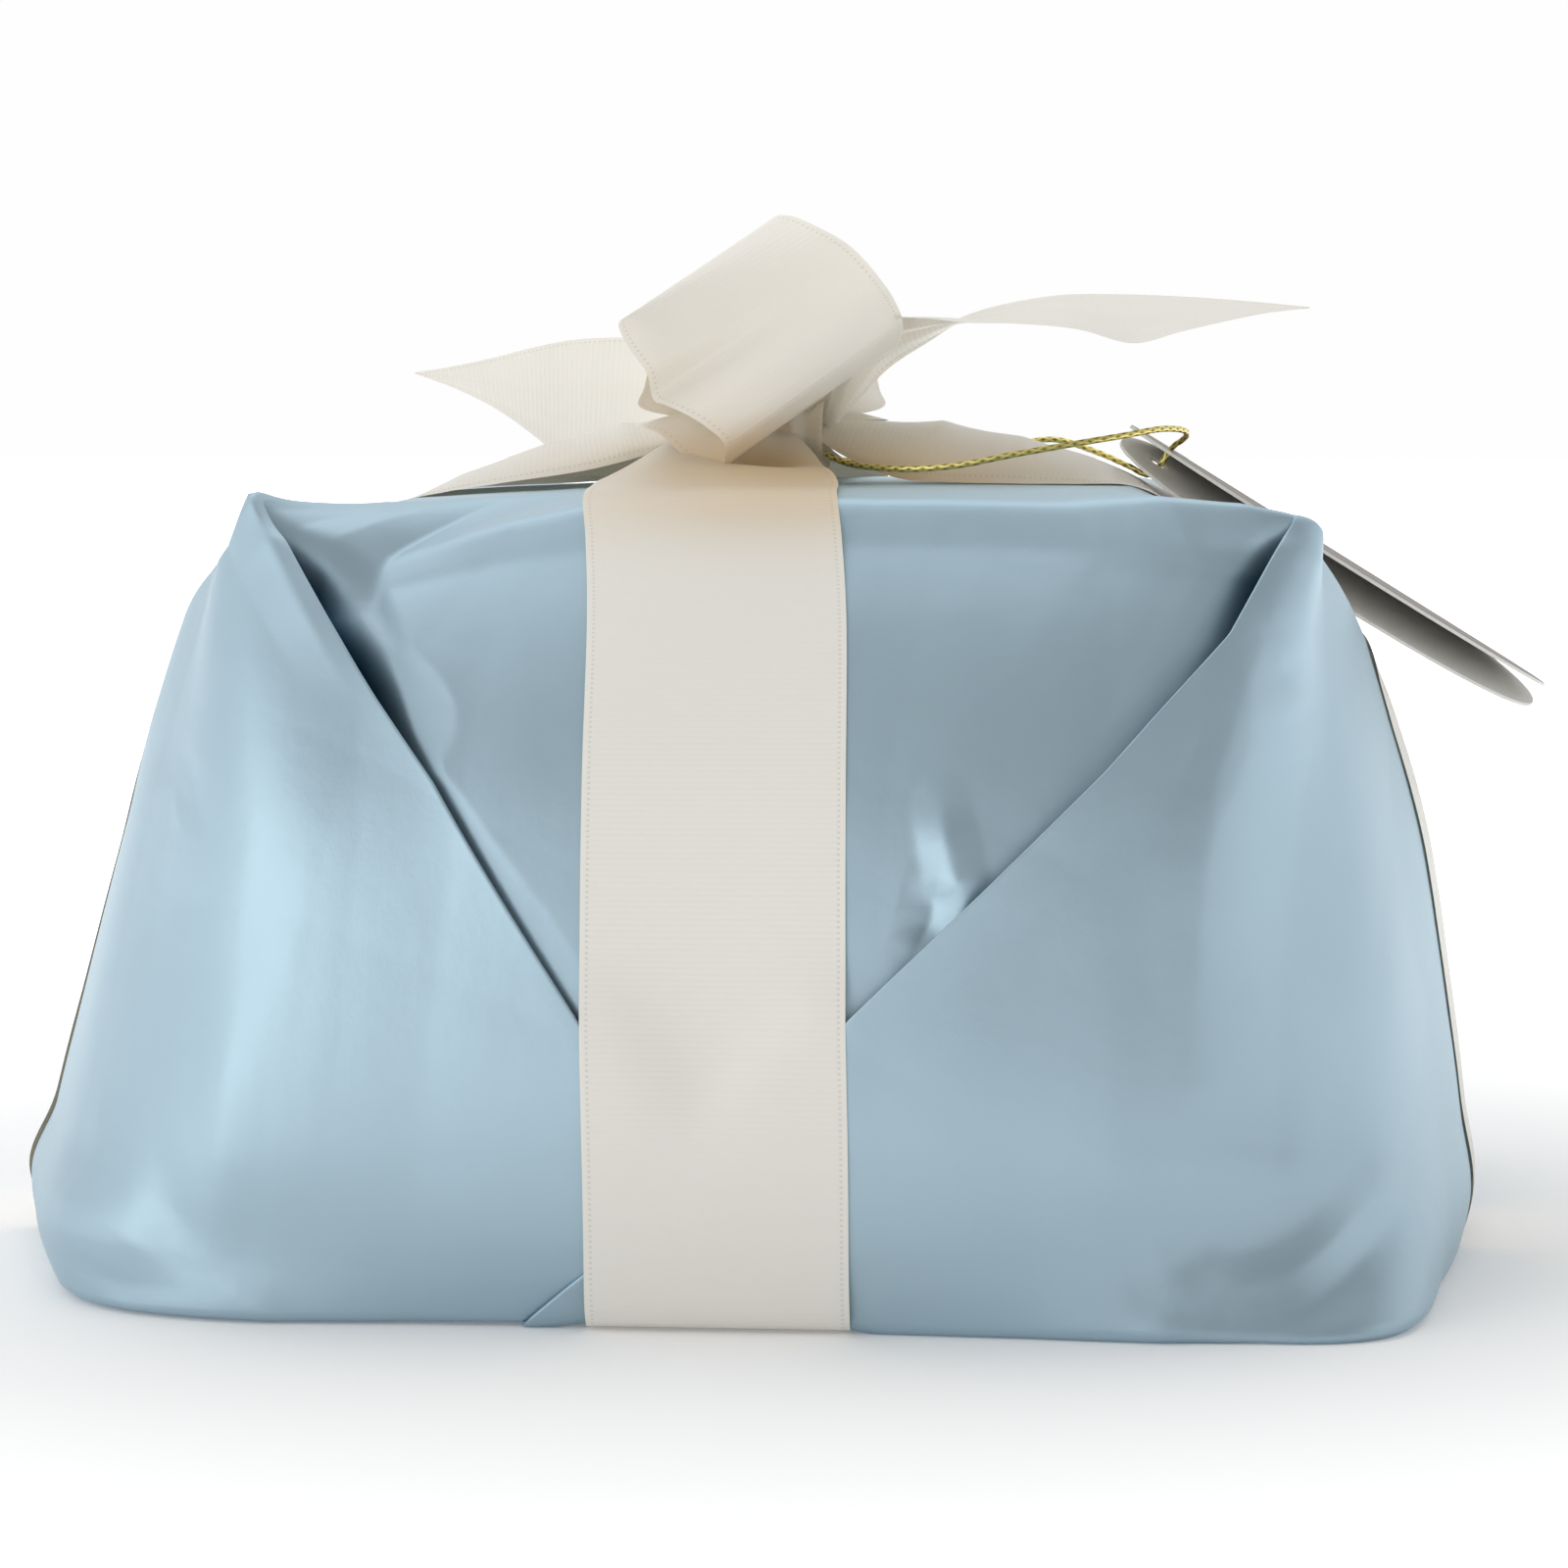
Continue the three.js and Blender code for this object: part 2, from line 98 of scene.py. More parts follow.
def smooth_piece(name, points, faces, material, nodes=(), uv=None):
    """A mesh piece on the one body, from points in millimetres. uv is a pair per point, in millimetres."""
    mesh = bpy.data.meshes.new(name)
    mesh.from_pydata((np.asarray(points) * mm).tolist(), [], faces)
    mesh.polygons.foreach_set("use_smooth", [True] * len(mesh.polygons))
    if uv is not None:
        corner = np.empty(len(mesh.loops), int)
        mesh.loops.foreach_get("vertex_index", corner)
        mesh.uv_layers.new(name="flat").data.foreach_set("uv", np.asarray(uv)[corner].ravel())
    mesh.materials.append(material)
    mesh.update()
    piece = bpy.data.objects.new(name, mesh)
    bpy.context.scene.collection.objects.link(piece)
    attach(piece, "root")
    if nodes:
        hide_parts(*nodes)
    return piece


def linear(hex_colour):
    """An sRGB hex colour as linear RGBA."""
    parts = [int(hex_colour[i : i + 2], 16) / 255 for i in (1, 3, 5)]
    return (*[c / 12.92 if c <= 0.04045 else ((c + 0.055) / 1.055) ** 2.4 for c in parts], 1)


def add(material, kind, settings=(), sockets=(), **named):
    """A node with its settings. Each socket takes a value, or a link when it is given (node, output)."""
    node = material.node_tree.nodes.new(kind)
    for key, value in dict(settings).items():
        setattr(node, key, value)
    named = {key.replace("_", " "): source for key, source in named.items()}
    for socket, source in {**dict(sockets), **named}.items():
        if isinstance(source, tuple) and isinstance(source[0], bpy.types.Node):
            material.node_tree.links.new(source[0].outputs[source[1]], node.inputs[socket])
        else:
            node.inputs[socket].default_value = source
    return node


def blank(name):
    """A material made of nodes, with none in it yet."""
    material = bpy.data.materials.new(name)
    material.use_nodes = True
    material.node_tree.nodes.clear()
    return material


cord_diameter = 1.0
cord_route = [
    (13.4, -6.2, 124),
    (17, -11, 122.6),
    (22, -16.5, 122),
    (29, -20.8, 121.9),
    (36, -22.2, 122.6),
    (43, -22.4, 124),
    (52, -21.2, 125.6),
    (60.5, -17.5, 127),
    (66.6, -11, 128),
    (70.2, -3, 127.6),
    (70.2, 3, 126.4),
    (68, 6, 124.6),
    (66.3, 6.3, 122),
    (64.6, 7, 120.4),
    (60.8, 9.6, 121.9),
    (55, 15, 124.2),
    (48, 21.6, 125.8),
    (39, 24, 124),
    (29, 21.4, 122),
    (20, 14.6, 121.9),
    (12.6, 6.4, 123),
]

# Metallised yarn on a dark core: greenish gold with a painted glint on each plait, dark core and painted
# shade between.
gold_braid = blank("plaited_metallised_yarn")
# The plait attribute is the height of the weave. It sets where the painted glint and the painted shade fall.
plait = add(gold_braid, "ShaderNodeAttribute", {"attribute_name": "plait"})
painted_shade_and_glint = {0: (plait, "Fac"), 6: linear("#574b1c"), 7: linear("#efe08a")}
tint = add(gold_braid, "ShaderNodeMix", {"data_type": "RGBA"}, painted_shade_and_glint)
painted_glint = {"Base Color": (tint, 2)}
skin = add(gold_braid, "ShaderNodeBsdfPrincipled", (), painted_glint, Metallic=0.9, Roughness=0.33)
add(gold_braid, "ShaderNodeOutputMaterial", (), {"Surface": (skin, 0)})

line = even_line(cord_route, 1300)
cord_length = float(np.linalg.norm(np.diff(line, axis=0), axis=1).sum())
ahead = np.gradient(line, axis=0)
ahead /= np.linalg.norm(ahead, axis=1, keepdims=True)
side = np.cross(ahead, (0, 0, 1))
side /= np.linalg.norm(side, axis=1, keepdims=True)
lift = np.cross(side, ahead)
plait_length = 2.4
cord_sides = 18
turn = np.linspace(0, cord_length, len(line))[:, None] / plait_length * 2 * math.pi
angle = np.arange(cord_sides)[None, :] / cord_sides * 2 * math.pi
weave = np.maximum(np.cos(3 * angle + turn), np.cos(3 * angle - turn)) * 0.5 + 0.5
radius = cord_diameter / 2 * (0.8 + 0.2 * weave)
ring = np.cos(angle)[..., None] * side[:, None] + np.sin(angle)[..., None] * lift[:, None]
points = (line[:, None] + ring * radius[..., None]).reshape(-1, 3)
faces = grid_quads(len(line), cord_sides, closed=True)
faces += [list(range(cord_sides))[::-1], list(range(len(points) - cord_sides, len(points)))]
gold_cord = smooth_piece("gold_cord", points, faces, gold_braid, ["tag_cord"])
gold_cord.data.attributes.new("plait", "FLOAT", "POINT").data.foreach_set("value", weave.ravel())

# ---- the floor and the light ----
# A white sweep under soft boxes: a broad one high on the left, a smaller one on the right, and one above.
# The sweep also has a painted glow: faint near the parcel, full from about half a metre out.
white_sweep = blank("white_paper_sweep")
where = add(white_sweep, "ShaderNodeTexCoord")
far = add(white_sweep, "ShaderNodeVectorMath", {"operation": "LENGTH"}, {0: (where, "Object")})
near_to_far = {"From Min": 0.1, "From Max": 0.55, "To Min": 0.12, "To Max": 1.0, "Value": (far, "Value")}
painted_glow = add(white_sweep, "ShaderNodeMapRange", {"interpolation_type": "SMOOTHSTEP"}, near_to_far)
white = {"Base Color": linear("#f2f2f2"), "Emission Color": (1, 1, 1, 1), "Emission Strength": (painted_glow, 0)}
skin = add(white_sweep, "ShaderNodeBsdfPrincipled", (), white, Roughness=0.9)
add(white_sweep, "ShaderNodeOutputMaterial", (), {"Surface": (skin, 0)})
floor_mesh = bpy.data.meshes.new("floor")
floor_mesh.from_pydata([(-6, -6, 0), (6, -6, 0), (6, 6, 0), (-6, 6, 0)], [], [(0, 1, 2, 3)])
floor_mesh.materials.append(white_sweep)
floor = bpy.data.objects.new("floor", floor_mesh)
bpy.context.scene.collection.objects.link(floor)

# The room is white behind the parcel and on its left, and duller high in front on the right.
sky = bpy.data.worlds.new("studio")
sky.use_nodes = True
way = add(sky, "ShaderNodeTexCoord")
towards_dull = {0: (way, "Generated"), 1: (0.51, -0.61, 0.61)}
dull_way = add(sky, "ShaderNodeVectorMath", {"operation": "DOT_PRODUCT"}, towards_dull)
fade = {"From Min": 0.3, "From Max": 0.86, "To Min": 0.99, "To Max": 0.38, "Value": (dull_way, "Value")}
bright = add(sky, "ShaderNodeMapRange", {"interpolation_type": "SMOOTHSTEP"}, fade)
glow = sky.node_tree.nodes["Background"]
sky.node_tree.links.new(bright.outputs["Result"], glow.inputs["Strength"])
glow.inputs["Color"].default_value = (1, 1, 1, 1)
bpy.context.scene.world = sky
bpy.context.scene.view_settings.view_transform = "Standard"

for name, place, aim, size, power in (
    ("key_left", (-1.0, -1.15, 0.5), (0, 0, 0.05), (1.1, 0.9), 4),
    ("fill_right", (1.25, -0.3, 0.5), (0, 0, 0.06), (0.6, 0.8), 1),
    ("top_back", (-0.2, 0.5, 1.4), (0, 0, 0.1), (1.2, 0.8), 2.4),
):
    lamp = bpy.data.lights.new(name, "AREA")
    lamp.shape = "RECTANGLE"
    lamp.size, lamp.size_y = size
    lamp.energy = power
    light = bpy.data.objects.new(name, lamp)
    light.location = place
    away = [p - a for p, a in zip(place, aim)]
    flat = math.hypot(away[0], away[1])
    light.rotation_euler = (math.atan2(flat, away[2]), 0, math.atan2(away[0], -away[1]))
    bpy.context.scene.collection.objects.link(light)

# ---- the wrapping paper ----
# One sheet of stiff pearl-coated paper laid over the loaf. At the front and at the back it is tucked in, and
# the two end flaps fold over it in a V, the right one on top. The bands of ribbon hold the folds shut.
paper_foot = 1.7
level_share = np.array([0, 0.055, 0.215, 0.43, 0.68, 0.86, 1])
# The wall at each level, from the left end round the front to the right end; the back mirrors it.
wall_x = [
    (-110, -114.6, -111.4, -106.2, -100, -95.6, -91),
    (-102, -105.3, -103, -98.8, -93.2, -88.9, -84.6),
    (-92, -94, -92, -88.5, -83.5, -79.5, -76.5),
    (-70, -71, -69, -66, -65.4, -66.6, -69.4),
    (-34, -34, -34, -33, -33, -32, -32),
    (5, 5, 5, 4, 4, 3, 3),
    (44, 44, 44, 44, 44, 44, 44),
    (73, 72, 71, 72, 76, 82, 86.5),
    (101, 101, 98, 97, 94, 92, 91),
    (109.5, 110.8, 109.5, 107, 103, 99, 96),
    (114.3, 116.2, 115, 112.6, 109.2, 104.6, 99.8),
]
wall_y = [
    (0, 0, 0, 0, 0, 0, 0),
    (-48, -48, -42, -38, -36, -34, -32),
    (-82, -82, -74, -68, -62, -56, -50),
    (-95, -94, -95, -92, -86, -76, -63),
    (-95, -97, -99.5, -98, -90, -76, -60),
    (-95, -98, -101, -98.5, -90.5, -77, -60.5),
    (-97, -98.5, -101, -98.5, -90.5, -77, -60.5),
    (-99, -97, -97.5, -94, -86, -75, -63),
    (-93, -86, -80, -73, -65, -58, -50),
    (-50, -48, -44, -40, -37, -34, -32),
    (0, 0, 0, 0, 0, 0, 0),
]


def top_height(x, y, share=1.0):
    """How high the top of the paper lies, sloping to the two ends."""
    slope = np.maximum(0, np.where(x < 0, -x - 50, x - 62)) / np.where(x < 0, 46, 39)
    middle = 119.6 - 0.0004 * (x - 22) ** 2 * (x < 22)
    return middle - 25 * slope**1.15 * np.maximum(0, 1 - (y / 64) ** 2) - 2 * share**6


# The walls as a fine table: rows of height share, columns round the parcel.
ring_xy = np.stack([wall_x, wall_y], axis=-1).astype(float)
ring_xy = np.concatenate([ring_xy, ring_xy[-2:0:-1] * (1, -1)])
ring_xy = np.concatenate([ring_xy[-2:], ring_xy, ring_xy[:3]])
knots = np.concatenate([[0], np.cumsum(np.sqrt(np.linalg.norm(np.diff(ring_xy[:, 3], axis=0), axis=1)))])
around = np.linspace(knots[2], knots[-3], 1601)
share_rows = np.linspace(0, 1, 151)
table = smooth_at(level_share, smooth_at(knots, ring_xy, around).transpose(1, 0, 2), share_rows)
rim_height = top_height(table[-1, :, 0], table[-1, :, 1])
table_z = paper_foot + (rim_height - paper_foot) * share_rows[:, None]
table = np.concatenate([table, table_z[..., None]], axis=-1)
half_turn = len(around) // 2

# The two fold lines of the V, as x at each height. The right one runs on to the foot of the left half.
left_fold = [(0, 13), (19.2, 1.4), (44.8, -14.5), (61.1, -25.4), (78.2, -36.7), (97.2, -52.2), (117.3, -69.2)]
right_fold = [(0, -26), (19.2, 1.4), (45.9, 24.4), (63.1, 42.4), (80.3, 60.2), (99.2, 77.5), (116.3, 87)]


def value_at(table, at):
    """The values of a table of (place, value) pairs at the given places."""
    return np.interp(at, *zip(*table))


def column_of(row, x_wanted, front):
    """Where on a table row the front or back wall has the wanted x, as a fractional column."""
    part = table[row, : half_turn + 1] if front else table[row, : half_turn - 1 : -1]
    at = np.interp(0, part[:, 0] - x_wanted(part[:, 2]), np.arange(len(part)))
    return at if front else len(around) - 1 - at


def spaced(row, start, stop, count, ease=1.0):
    """Points along a table row between two columns, spread evenly, or closer together at both ends."""
    columns = np.linspace(start, stop, 900) % (len(around) - 1)
    places = np.arange(len(around))
    fine = np.stack([np.interp(columns, places, table[row, :, k]) for k in range(3)], axis=-1)
    gone = np.concatenate([[0], np.cumsum(np.linalg.norm(np.diff(fine, axis=0), axis=1))])
    at = np.linspace(-1, 1, count)
    at = (np.sign(at) * (1 - (1 - np.abs(at)) ** ease) + 1) / 2 * gone[-1]
    return np.stack([np.interp(at, gone, fine[:, k]) for k in range(3)], axis=-1)


# The front and back run on under the flaps by the tuck. A flap is a closed strip from its fold round the end.
tuck = 9.0
flap_columns, face_columns = 281, 241
sheets = {"left": [], "right": [], "front": [], "back": []}
for row, share in enumerate(share_rows):
    under = tuck * min(1, (1 - share) / 0.07)
    for end, fold, round_to in (("left", left_fold, 1 - len(around)), ("right", right_fold, 0)):
        a, b = (column_of(row, lambda z: value_at(fold, z), front) for front in (True, False))
        sheets[end].append(spaced(row, a, b + round_to, flap_columns, 1.2))
    for face in ("front", "back"):
        a = column_of(row, lambda z: np.minimum(value_at(left_fold, z), 2) - under, face == "front")
        b = column_of(row, lambda z: np.maximum(value_at(right_fold, z), 2) + under, face == "front")
        sheets[face].append(spaced(row, a, b, face_columns))

# Each part runs on from its wall over the top to the middle, and under the foot to the middle.
top_shares = np.linspace(1, 0.01, 62)[1:]
foot_shares = np.array([0.03, 0.3, 0.6, 0.85, 0.95, 0.985])
wall_first = len(foot_shares)
wall_last = wall_first + len(share_rows) - 1
for part, wall in sheets.items():
    wall = np.array(wall)
    top = wall[-1][None] * top_shares[:, None, None]
    top[..., 2] = top_height(top[..., 0], top[..., 1], top_shares[:, None])
    foot = wall[0][None] * foot_shares[:, None, None]
    foot[..., 2] = paper_foot - 0.5
    sheets[part] = np.concatenate([foot, wall, top])


def soften(points, middle, reach, spread):
    """Rounds the bend that runs across a part near one of its rows."""
    offsets = np.arange(-int(3 * spread), int(3 * spread) + 1)
    weights = np.exp(-0.5 * (offsets / spread) ** 2)
    rows = np.arange(len(points))
    nearby = [w * points[np.clip(rows + o, 0, len(points) - 1)] for w, o in zip(weights, offsets)]
    blurred = sum(nearby) / weights.sum()
    amount = np.exp(-(((rows - middle) / reach) ** 4))[:, None, None]
    return points + (blurred - points) * amount


def outward(points):
    """The direction that faces out at each point of a grid."""
    normal = np.cross(np.gradient(points, axis=1), np.gradient(points, axis=0))
    normal /= np.linalg.norm(normal, axis=2, keepdims=True) + 1e-9
    middle = normal[wall_first + 40, normal.shape[1] // 2] @ points[wall_first + 40, normal.shape[1] // 2]
    return normal * (1 if middle > 0 else -1)


def crease(x, y, line, height, width):
    """A fold's height over a plane: a roof along a line of points, that dies out to both sides and ends."""
    best = np.full(x.shape, 1e9)
    gone = np.zeros(x.shape)
    line = np.array(line, float)
    lengths = np.hypot(*np.diff(line, axis=0).T)
    start = np.concatenate([[0], np.cumsum(lengths)])
    for a, b, length, before in zip(line, line[1:], lengths, start):
        t = np.clip(((x - a[0]) * (b[0] - a[0]) + (y - a[1]) * (b[1] - a[1])) / length**2, 0, 1)
        d = np.hypot(x - a[0] - t * (b[0] - a[0]), y - a[1] - t * (b[1] - a[1]))
        nearer = d < best
        best = np.where(nearer, d, best)
        gone = np.where(nearer, before + t * length, gone)
    ends = np.clip(np.minimum(gone, start[-1] - gone) / (0.3 * start[-1]), 0, 1) * 0.75 + 0.25
    return height * ends * np.maximum(0, 1 - best / width)


def dent(x, y, place, height, width, tall):
    """A soft hollow or swelling over a plane."""
    return height * np.exp(-(((x - place[0]) / width) ** 2) - ((y - place[1]) / tall) ** 2)


# Folds pressed into the flaps: their line in x and z, how far they stand out, and how wide they spread.
flap_folds = [
    ([(-67.4, 112), (-64.5, 92), (-63.2, 71), (-65, 40), (-68.5, 12)], 0.7, 16),
    ([(84, 105), (79, 90), (75.5, 79), (72.3, 52), (71.1, 24.5), (71.9, 6)], 0.9, 13),
    ([(-70.8, 6.6), (-68.8, 12), (-66.7, 25), (-64.3, 47)], 0.45, 6),
    ([(-73.5, 9), (-76.5, 20), (-79, 30)], -0.4, 5),
    ([(-103, 15.6), (-94.3, 15.1), (-87.7, 14.2), (-82.2, 12.1), (-73.1, 6)], 0.9, 7),
    ([(-98, 7.5), (-86.2, 5.5), (-73.8, 5.2)], -0.7, 5),
    ([(-69.1, 6.3), (-57.6, 1.3)], 0.5, 5),
    ([(-89, 30), (-88, 22), (-92, 17)], 0.3, 4),
    ([(-101.1, 24), (-101.6, 13), (-104, 7)], -0.5, 4),
    ([(-89, 69.8), (-84.8, 74.3), (-78.7, 75.9), (-75.8, 69.9), (-77.3, 65.4)], 0.45, 4.5),
    ([(-92, 75), (-82, 79), (-70, 70)], -0.35, 7),
    ([(-56.2, 67), (-61.7, 58.5), (-64.9, 47.1)], -0.25, 6),
    ([(81, 104), (83.6, 98), (87.9, 89.4)], -0.6, 6),
    ([(77, 104), (73.6, 92.8), (73.6, 85.8), (71.7, 80.5), (66, 69)], -0.6, 7),
    ([(66.3, 68), (66.9, 38), (68.4, 12.6)], -0.5, 7),
    ([(71.5, 4.5), (66.7, 15.5)], 0.4, 3.5),
    ([(71.5, 4.5), (77.1, 13.5)], 0.5, 4),
    ([(73, 4.2), (81, 3.4), (89.1, 5), (95.3, 9.7), (103.3, 16.5)], -0.9, 5),
    ([(76, 7), (86, 8.6), (93, 13.5), (99, 20)], 0.7, 5),
    ([(102, 11.5), (108, 10), (114, 8.5)], -0.8, 4),
    ([(95.8, 23.5), (98.7, 19.2), (104.4, 16.4)], 0.5, 4),
    ([(106.4, 26), (106.8, 17)], -0.7, 4),
    ([(110, 27), (110.5, 15)], 0.5, 4),
    ([(72, 4), (64, 0.8)], 0.4, 4),
]
# The same for the tucked-in faces between the flaps.
face_folds = [
    ([(36.6, 76), (38.4, 68), (40.8, 60.5)], 1.3, 4.6),
    ([(33.6, 56), (35.3, 60), (36.2, 66)], -1.4, 4.5),
]
# How far the rim sinks, as x and depth. In front it rises to a point at the left corner and dips beside it.
front_dip = [(-78, 4.5), (-72.4, 1.8), (-68.6, -5.2), (-65.4, -2.4), (-61, 0.2), (-55, 2.4), (-48, 6.6)]
front_dip += [(-42, 5), (-36, 3), (-30, 1.4), (-18, -0.6), (0, -1), (38, -0.8), (54, -0.4), (68, -1.6)]
front_dip += [(80, -1), (87, 0.6)]
back_dip = [(-76, 4), (-60, 1.5), (-40, 0), (60, 0), (75, 2.5), (90, 7)]
dip_reach = 26.0
# The pockets beside the flaps, as height and depth or width: a gutter at the fold and a slope out of it.
left_depth = [(20, 0.4), (60, 0.6), (80, 1), (86, 3.5), (93, 6.5), (100, 8.4), (106, 8.4), (111, 5.6)]
left_depth += [(115, 2.4)]
left_gutter = [(80, 1.6), (86, 3), (92, 5.5), (98, 8), (104, 8.5), (109, 7), (114, 3)]
left_slope = [(60, 6), (80, 3), (82, 4), (86, 9), (90, 12), (94, 12.5), (98, 11.5), (106, 12.5)]
left_slope += [(111, 15), (114, 9)]
right_depth = [(20, 0.3), (60, 0.7), (80, 1.2), (93, 2.2), (102, 4.2), (109, 6), (116, 1.5)]
right_gutter, right_slope = 6.0, 28.0
# How far a flap's free edge stands off, as height and distance.
edge_lift = [(20, 0.4), (60, 0.8), (95, 1.5), (112, 1.2), (117, 0.3)]
rng = np.random.default_rng(7)
swells, breaks = 26, 9
wave_way = rng.normal(size=(swells, 3)) * (1, 1, 0.8)
wave_way /= np.linalg.norm(wave_way, axis=1, keepdims=True)
wave_long = rng.uniform(34, 95, swells)
wave_start = rng.uniform(0, 2 * math.pi, swells)


def slack(points):
    """Soft unevenness of paper that was pulled by hand: long swells, and faint straight breaks."""
    total = np.zeros(points.shape[:2])
    for way, long, start in zip(wave_way, wave_long, wave_start):
        total += np.sin(points @ way * (2 * math.pi / long) + start) * 0.022 * long / 60
    for way, long, start in zip(wave_way[:breaks], wave_long, wave_start):
        ridge = np.abs(np.sin(points @ way[[1, 2, 0]] * (math.pi / long) + start))
        total -= (1 - ridge) ** 3 * 0.1
    return total


def rim_sink(points, share):
    """How far each point sinks with the rim over or beside it."""
    rim_x, rim_y = points[wall_last, :, 0], points[wall_last, :, 1]
    dip = np.where(rim_y < 0, value_at(front_dip, rim_x), value_at(back_dip, rim_x))[None]
    from_rim = np.hypot(*np.moveaxis(points[..., :2] - points[wall_last, :, :2], 2, 0))
    below, on_top = np.clip((share - 0.76) / 0.24, 0, 1) ** 1.5, np.clip(1 - from_rim / dip_reach, 0, 1)
    return dip * np.where(share < 1, below, on_top) * np.clip((np.abs(rim_y) - 50) / 7, 0, 1)


def flap_push(part, x, z, gone, facing, share, on_wall):
    """How far a flap stands out: its pressed folds, its lifted free edges, and the lap of the right one."""
    push = np.zeros(x.shape)
    for line, height, width in flap_folds:
        push += crease(x, z, line, height, width) * facing * on_wall
    for edge in (gone, gone[:, -1:] - gone):
        push += value_at(edge_lift, z) * np.exp(-edge / 9) * on_wall
    return push + (part == "right") * 0.8 * np.clip(1 - share / 0.6, 0, 1)


def pocket_depth(x, z):
    """How far a tucked-in face sinks beside the two flaps."""
    inside = np.maximum(x - value_at(left_fold, z), 0)
    gutter = np.clip(1 - inside / value_at(left_gutter, z), 0, 1) ** 1.2
    slope = np.clip(1 - inside / value_at(left_slope, z), 0, 1)
    depth = value_at(left_depth, z) * (0.5 * gutter + 0.58 * slope)
    inside = np.maximum(value_at(right_fold, z) - x, 0)
    gutter = np.clip(1 - inside / right_gutter, 0, 1) ** 1.3
    slope = np.clip(1 - inside / right_slope, 0, 1) ** 1.5
    return depth + value_at(right_depth, z) * (0.4 * gutter + 0.45 * slope)


def turned_under(points, normal, radius, edge, step):
    """Rows that turn a flap's free edge under itself round a small radius and lie flat below."""
    tip, out = points[:, edge], normal[:, edge]
    away = tip - points[:, edge + 2 * step]
    away /= np.linalg.norm(away, axis=1, keepdims=True)
    rows = []
    for degrees in (30, 60, 90, 120, 150, 180):
        a = math.radians(degrees)
        rows.append(tip + away * radius * math.sin(a) - out * radius * (1 - math.cos(a)))
    for k in (edge + 3 * step, edge + 6 * step, edge + 9 * step):
        rows.append(points[:, k] - normal[:, k] * radius * 2.2)
    return np.array(rows).transpose(1, 0, 2)


def keep(name, points, shade):
    """Adds a grid of points to the paper, with how much painted shade each gets deep in a pocket, and numbers
    them.
    """
    index[name] = np.arange(shade.size).reshape(shade.shape) + sum(map(len, paper_points))
    paper_points.append(points.reshape(-1, 3))
    tucked.append(shade.ravel())


paper_points, tucked, index = [], [], {}
lap_gap, fold_radius, least_height, foot_sag = 0.9, 0.36, 0.12, 1.35
for part, points in sheets.items():
    is_flap = part in ("left", "right")
    share = np.clip((np.arange(len(points)) - wall_first) / (len(share_rows) - 1), 0, 1)[:, None]
    points[..., 2] -= rim_sink(points, share)
    points = soften(points, wall_last, 4, 1.1 if is_flap else 1.2)
    points = soften(points, wall_first, 3, 1)
    normal = outward(points)
    x, y, z = np.moveaxis(points, 2, 0)
    facing = np.clip((np.abs(normal[..., 1]) - 0.25) / 0.3, 0, 1)
    gone = np.cumsum(np.linalg.norm(np.diff(points, axis=1, prepend=points[:, :1]), axis=2), axis=1)
    on_wall = np.clip((1 - share) / 0.05, 0, 1) ** 1.5
    # The back has the front's folds, a little shifted.
    mirror_x = np.where(y < 0, x, x * 0.96 + 3)
    push = slack(points)
    shade = np.zeros(x.shape)
    if is_flap:
        push += flap_push(part, mirror_x, z, gone, facing, share, on_wall)
    else:
        for line, height, width in face_folds:
            push += crease(mirror_x, z, line, height, width) * on_wall
        depth = pocket_depth(x, z)
        push -= depth * on_wall + lap_gap * on_wall
        # Painted shade: how far the deeper blue is mixed in, growing with how far the face sinks in its
        # pocket.
        shade = np.clip((depth - 1.8) / 3.6, 0, 1) * on_wall
    over = np.clip((share - 0.86) / 0.14, 0, 1)
    ears = dent(x, np.abs(y), (-68, 63), 0.8, 3.5, 6) + dent(x, np.abs(y), (87.5, 63), 0.4, 4.5, 6)
    push += over * ears
    # Under the bands the paper is pulled flat, and between them its foot sags to the floor.
    band_front = np.exp(-(((x - 4) / 21) ** 6))
    band_side = np.exp(-((y / 22) ** 6))
    banded = np.maximum(band_front * (np.abs(y) > 25), band_side)
    push = np.minimum(push, push * (1 - banded) + 0.3 * banded)
    points = points + normal * push[..., None]
    points[..., 2] -= foot_sag * (1 - np.maximum(band_front, band_side)) * np.clip(1 - share / 0.07, 0, 1)
    points[..., 2] = np.maximum(points[..., 2], least_height)
    keep(part, points, shade)
    if is_flap:
        wall = slice(0, wall_last + 1)
        radius = fold_radius * np.clip((1 - share[wall]) / 0.03, 0.02, 1)
        for edge, step in ((0, 1), (-1, -1)):
            under = turned_under(points[wall], normal[wall], radius, edge, step)
            keep(part + str(edge), under, np.zeros(under.shape[:2]))
            hem = np.concatenate([index[part + str(edge)][:, ::-1], index[part][wall, [edge]]], axis=1)
            index[part + str(edge)] = hem if step == 1 else hem[:, ::-1]

# Above the wall the flaps and the faces are one sheet, so they share the points along their seam.
paper_faces = []
for end, column in (("left", 0), ("right", -1)):
    for own, face in ((0, "front"), (-1, "back")):
        index[end][wall_last:, own] = index[face][wall_last:, column]
        index[end + str(own)][wall_last, -1 if own == 0 else 0] = index[face][wall_last, column]
for part, grid in index.items():
    a, b, c, d = grid[:-1, :-1], grid[:-1, 1:], grid[1:, 1:], grid[1:, :-1]
    inside_out = part == "back" or part.startswith("left")
    quads = np.stack([a, d, c, b] if inside_out else [a, b, c, d], axis=-1).reshape(-1, 4)
    paper_faces += quads.tolist()
paper_points = np.concatenate(paper_points)
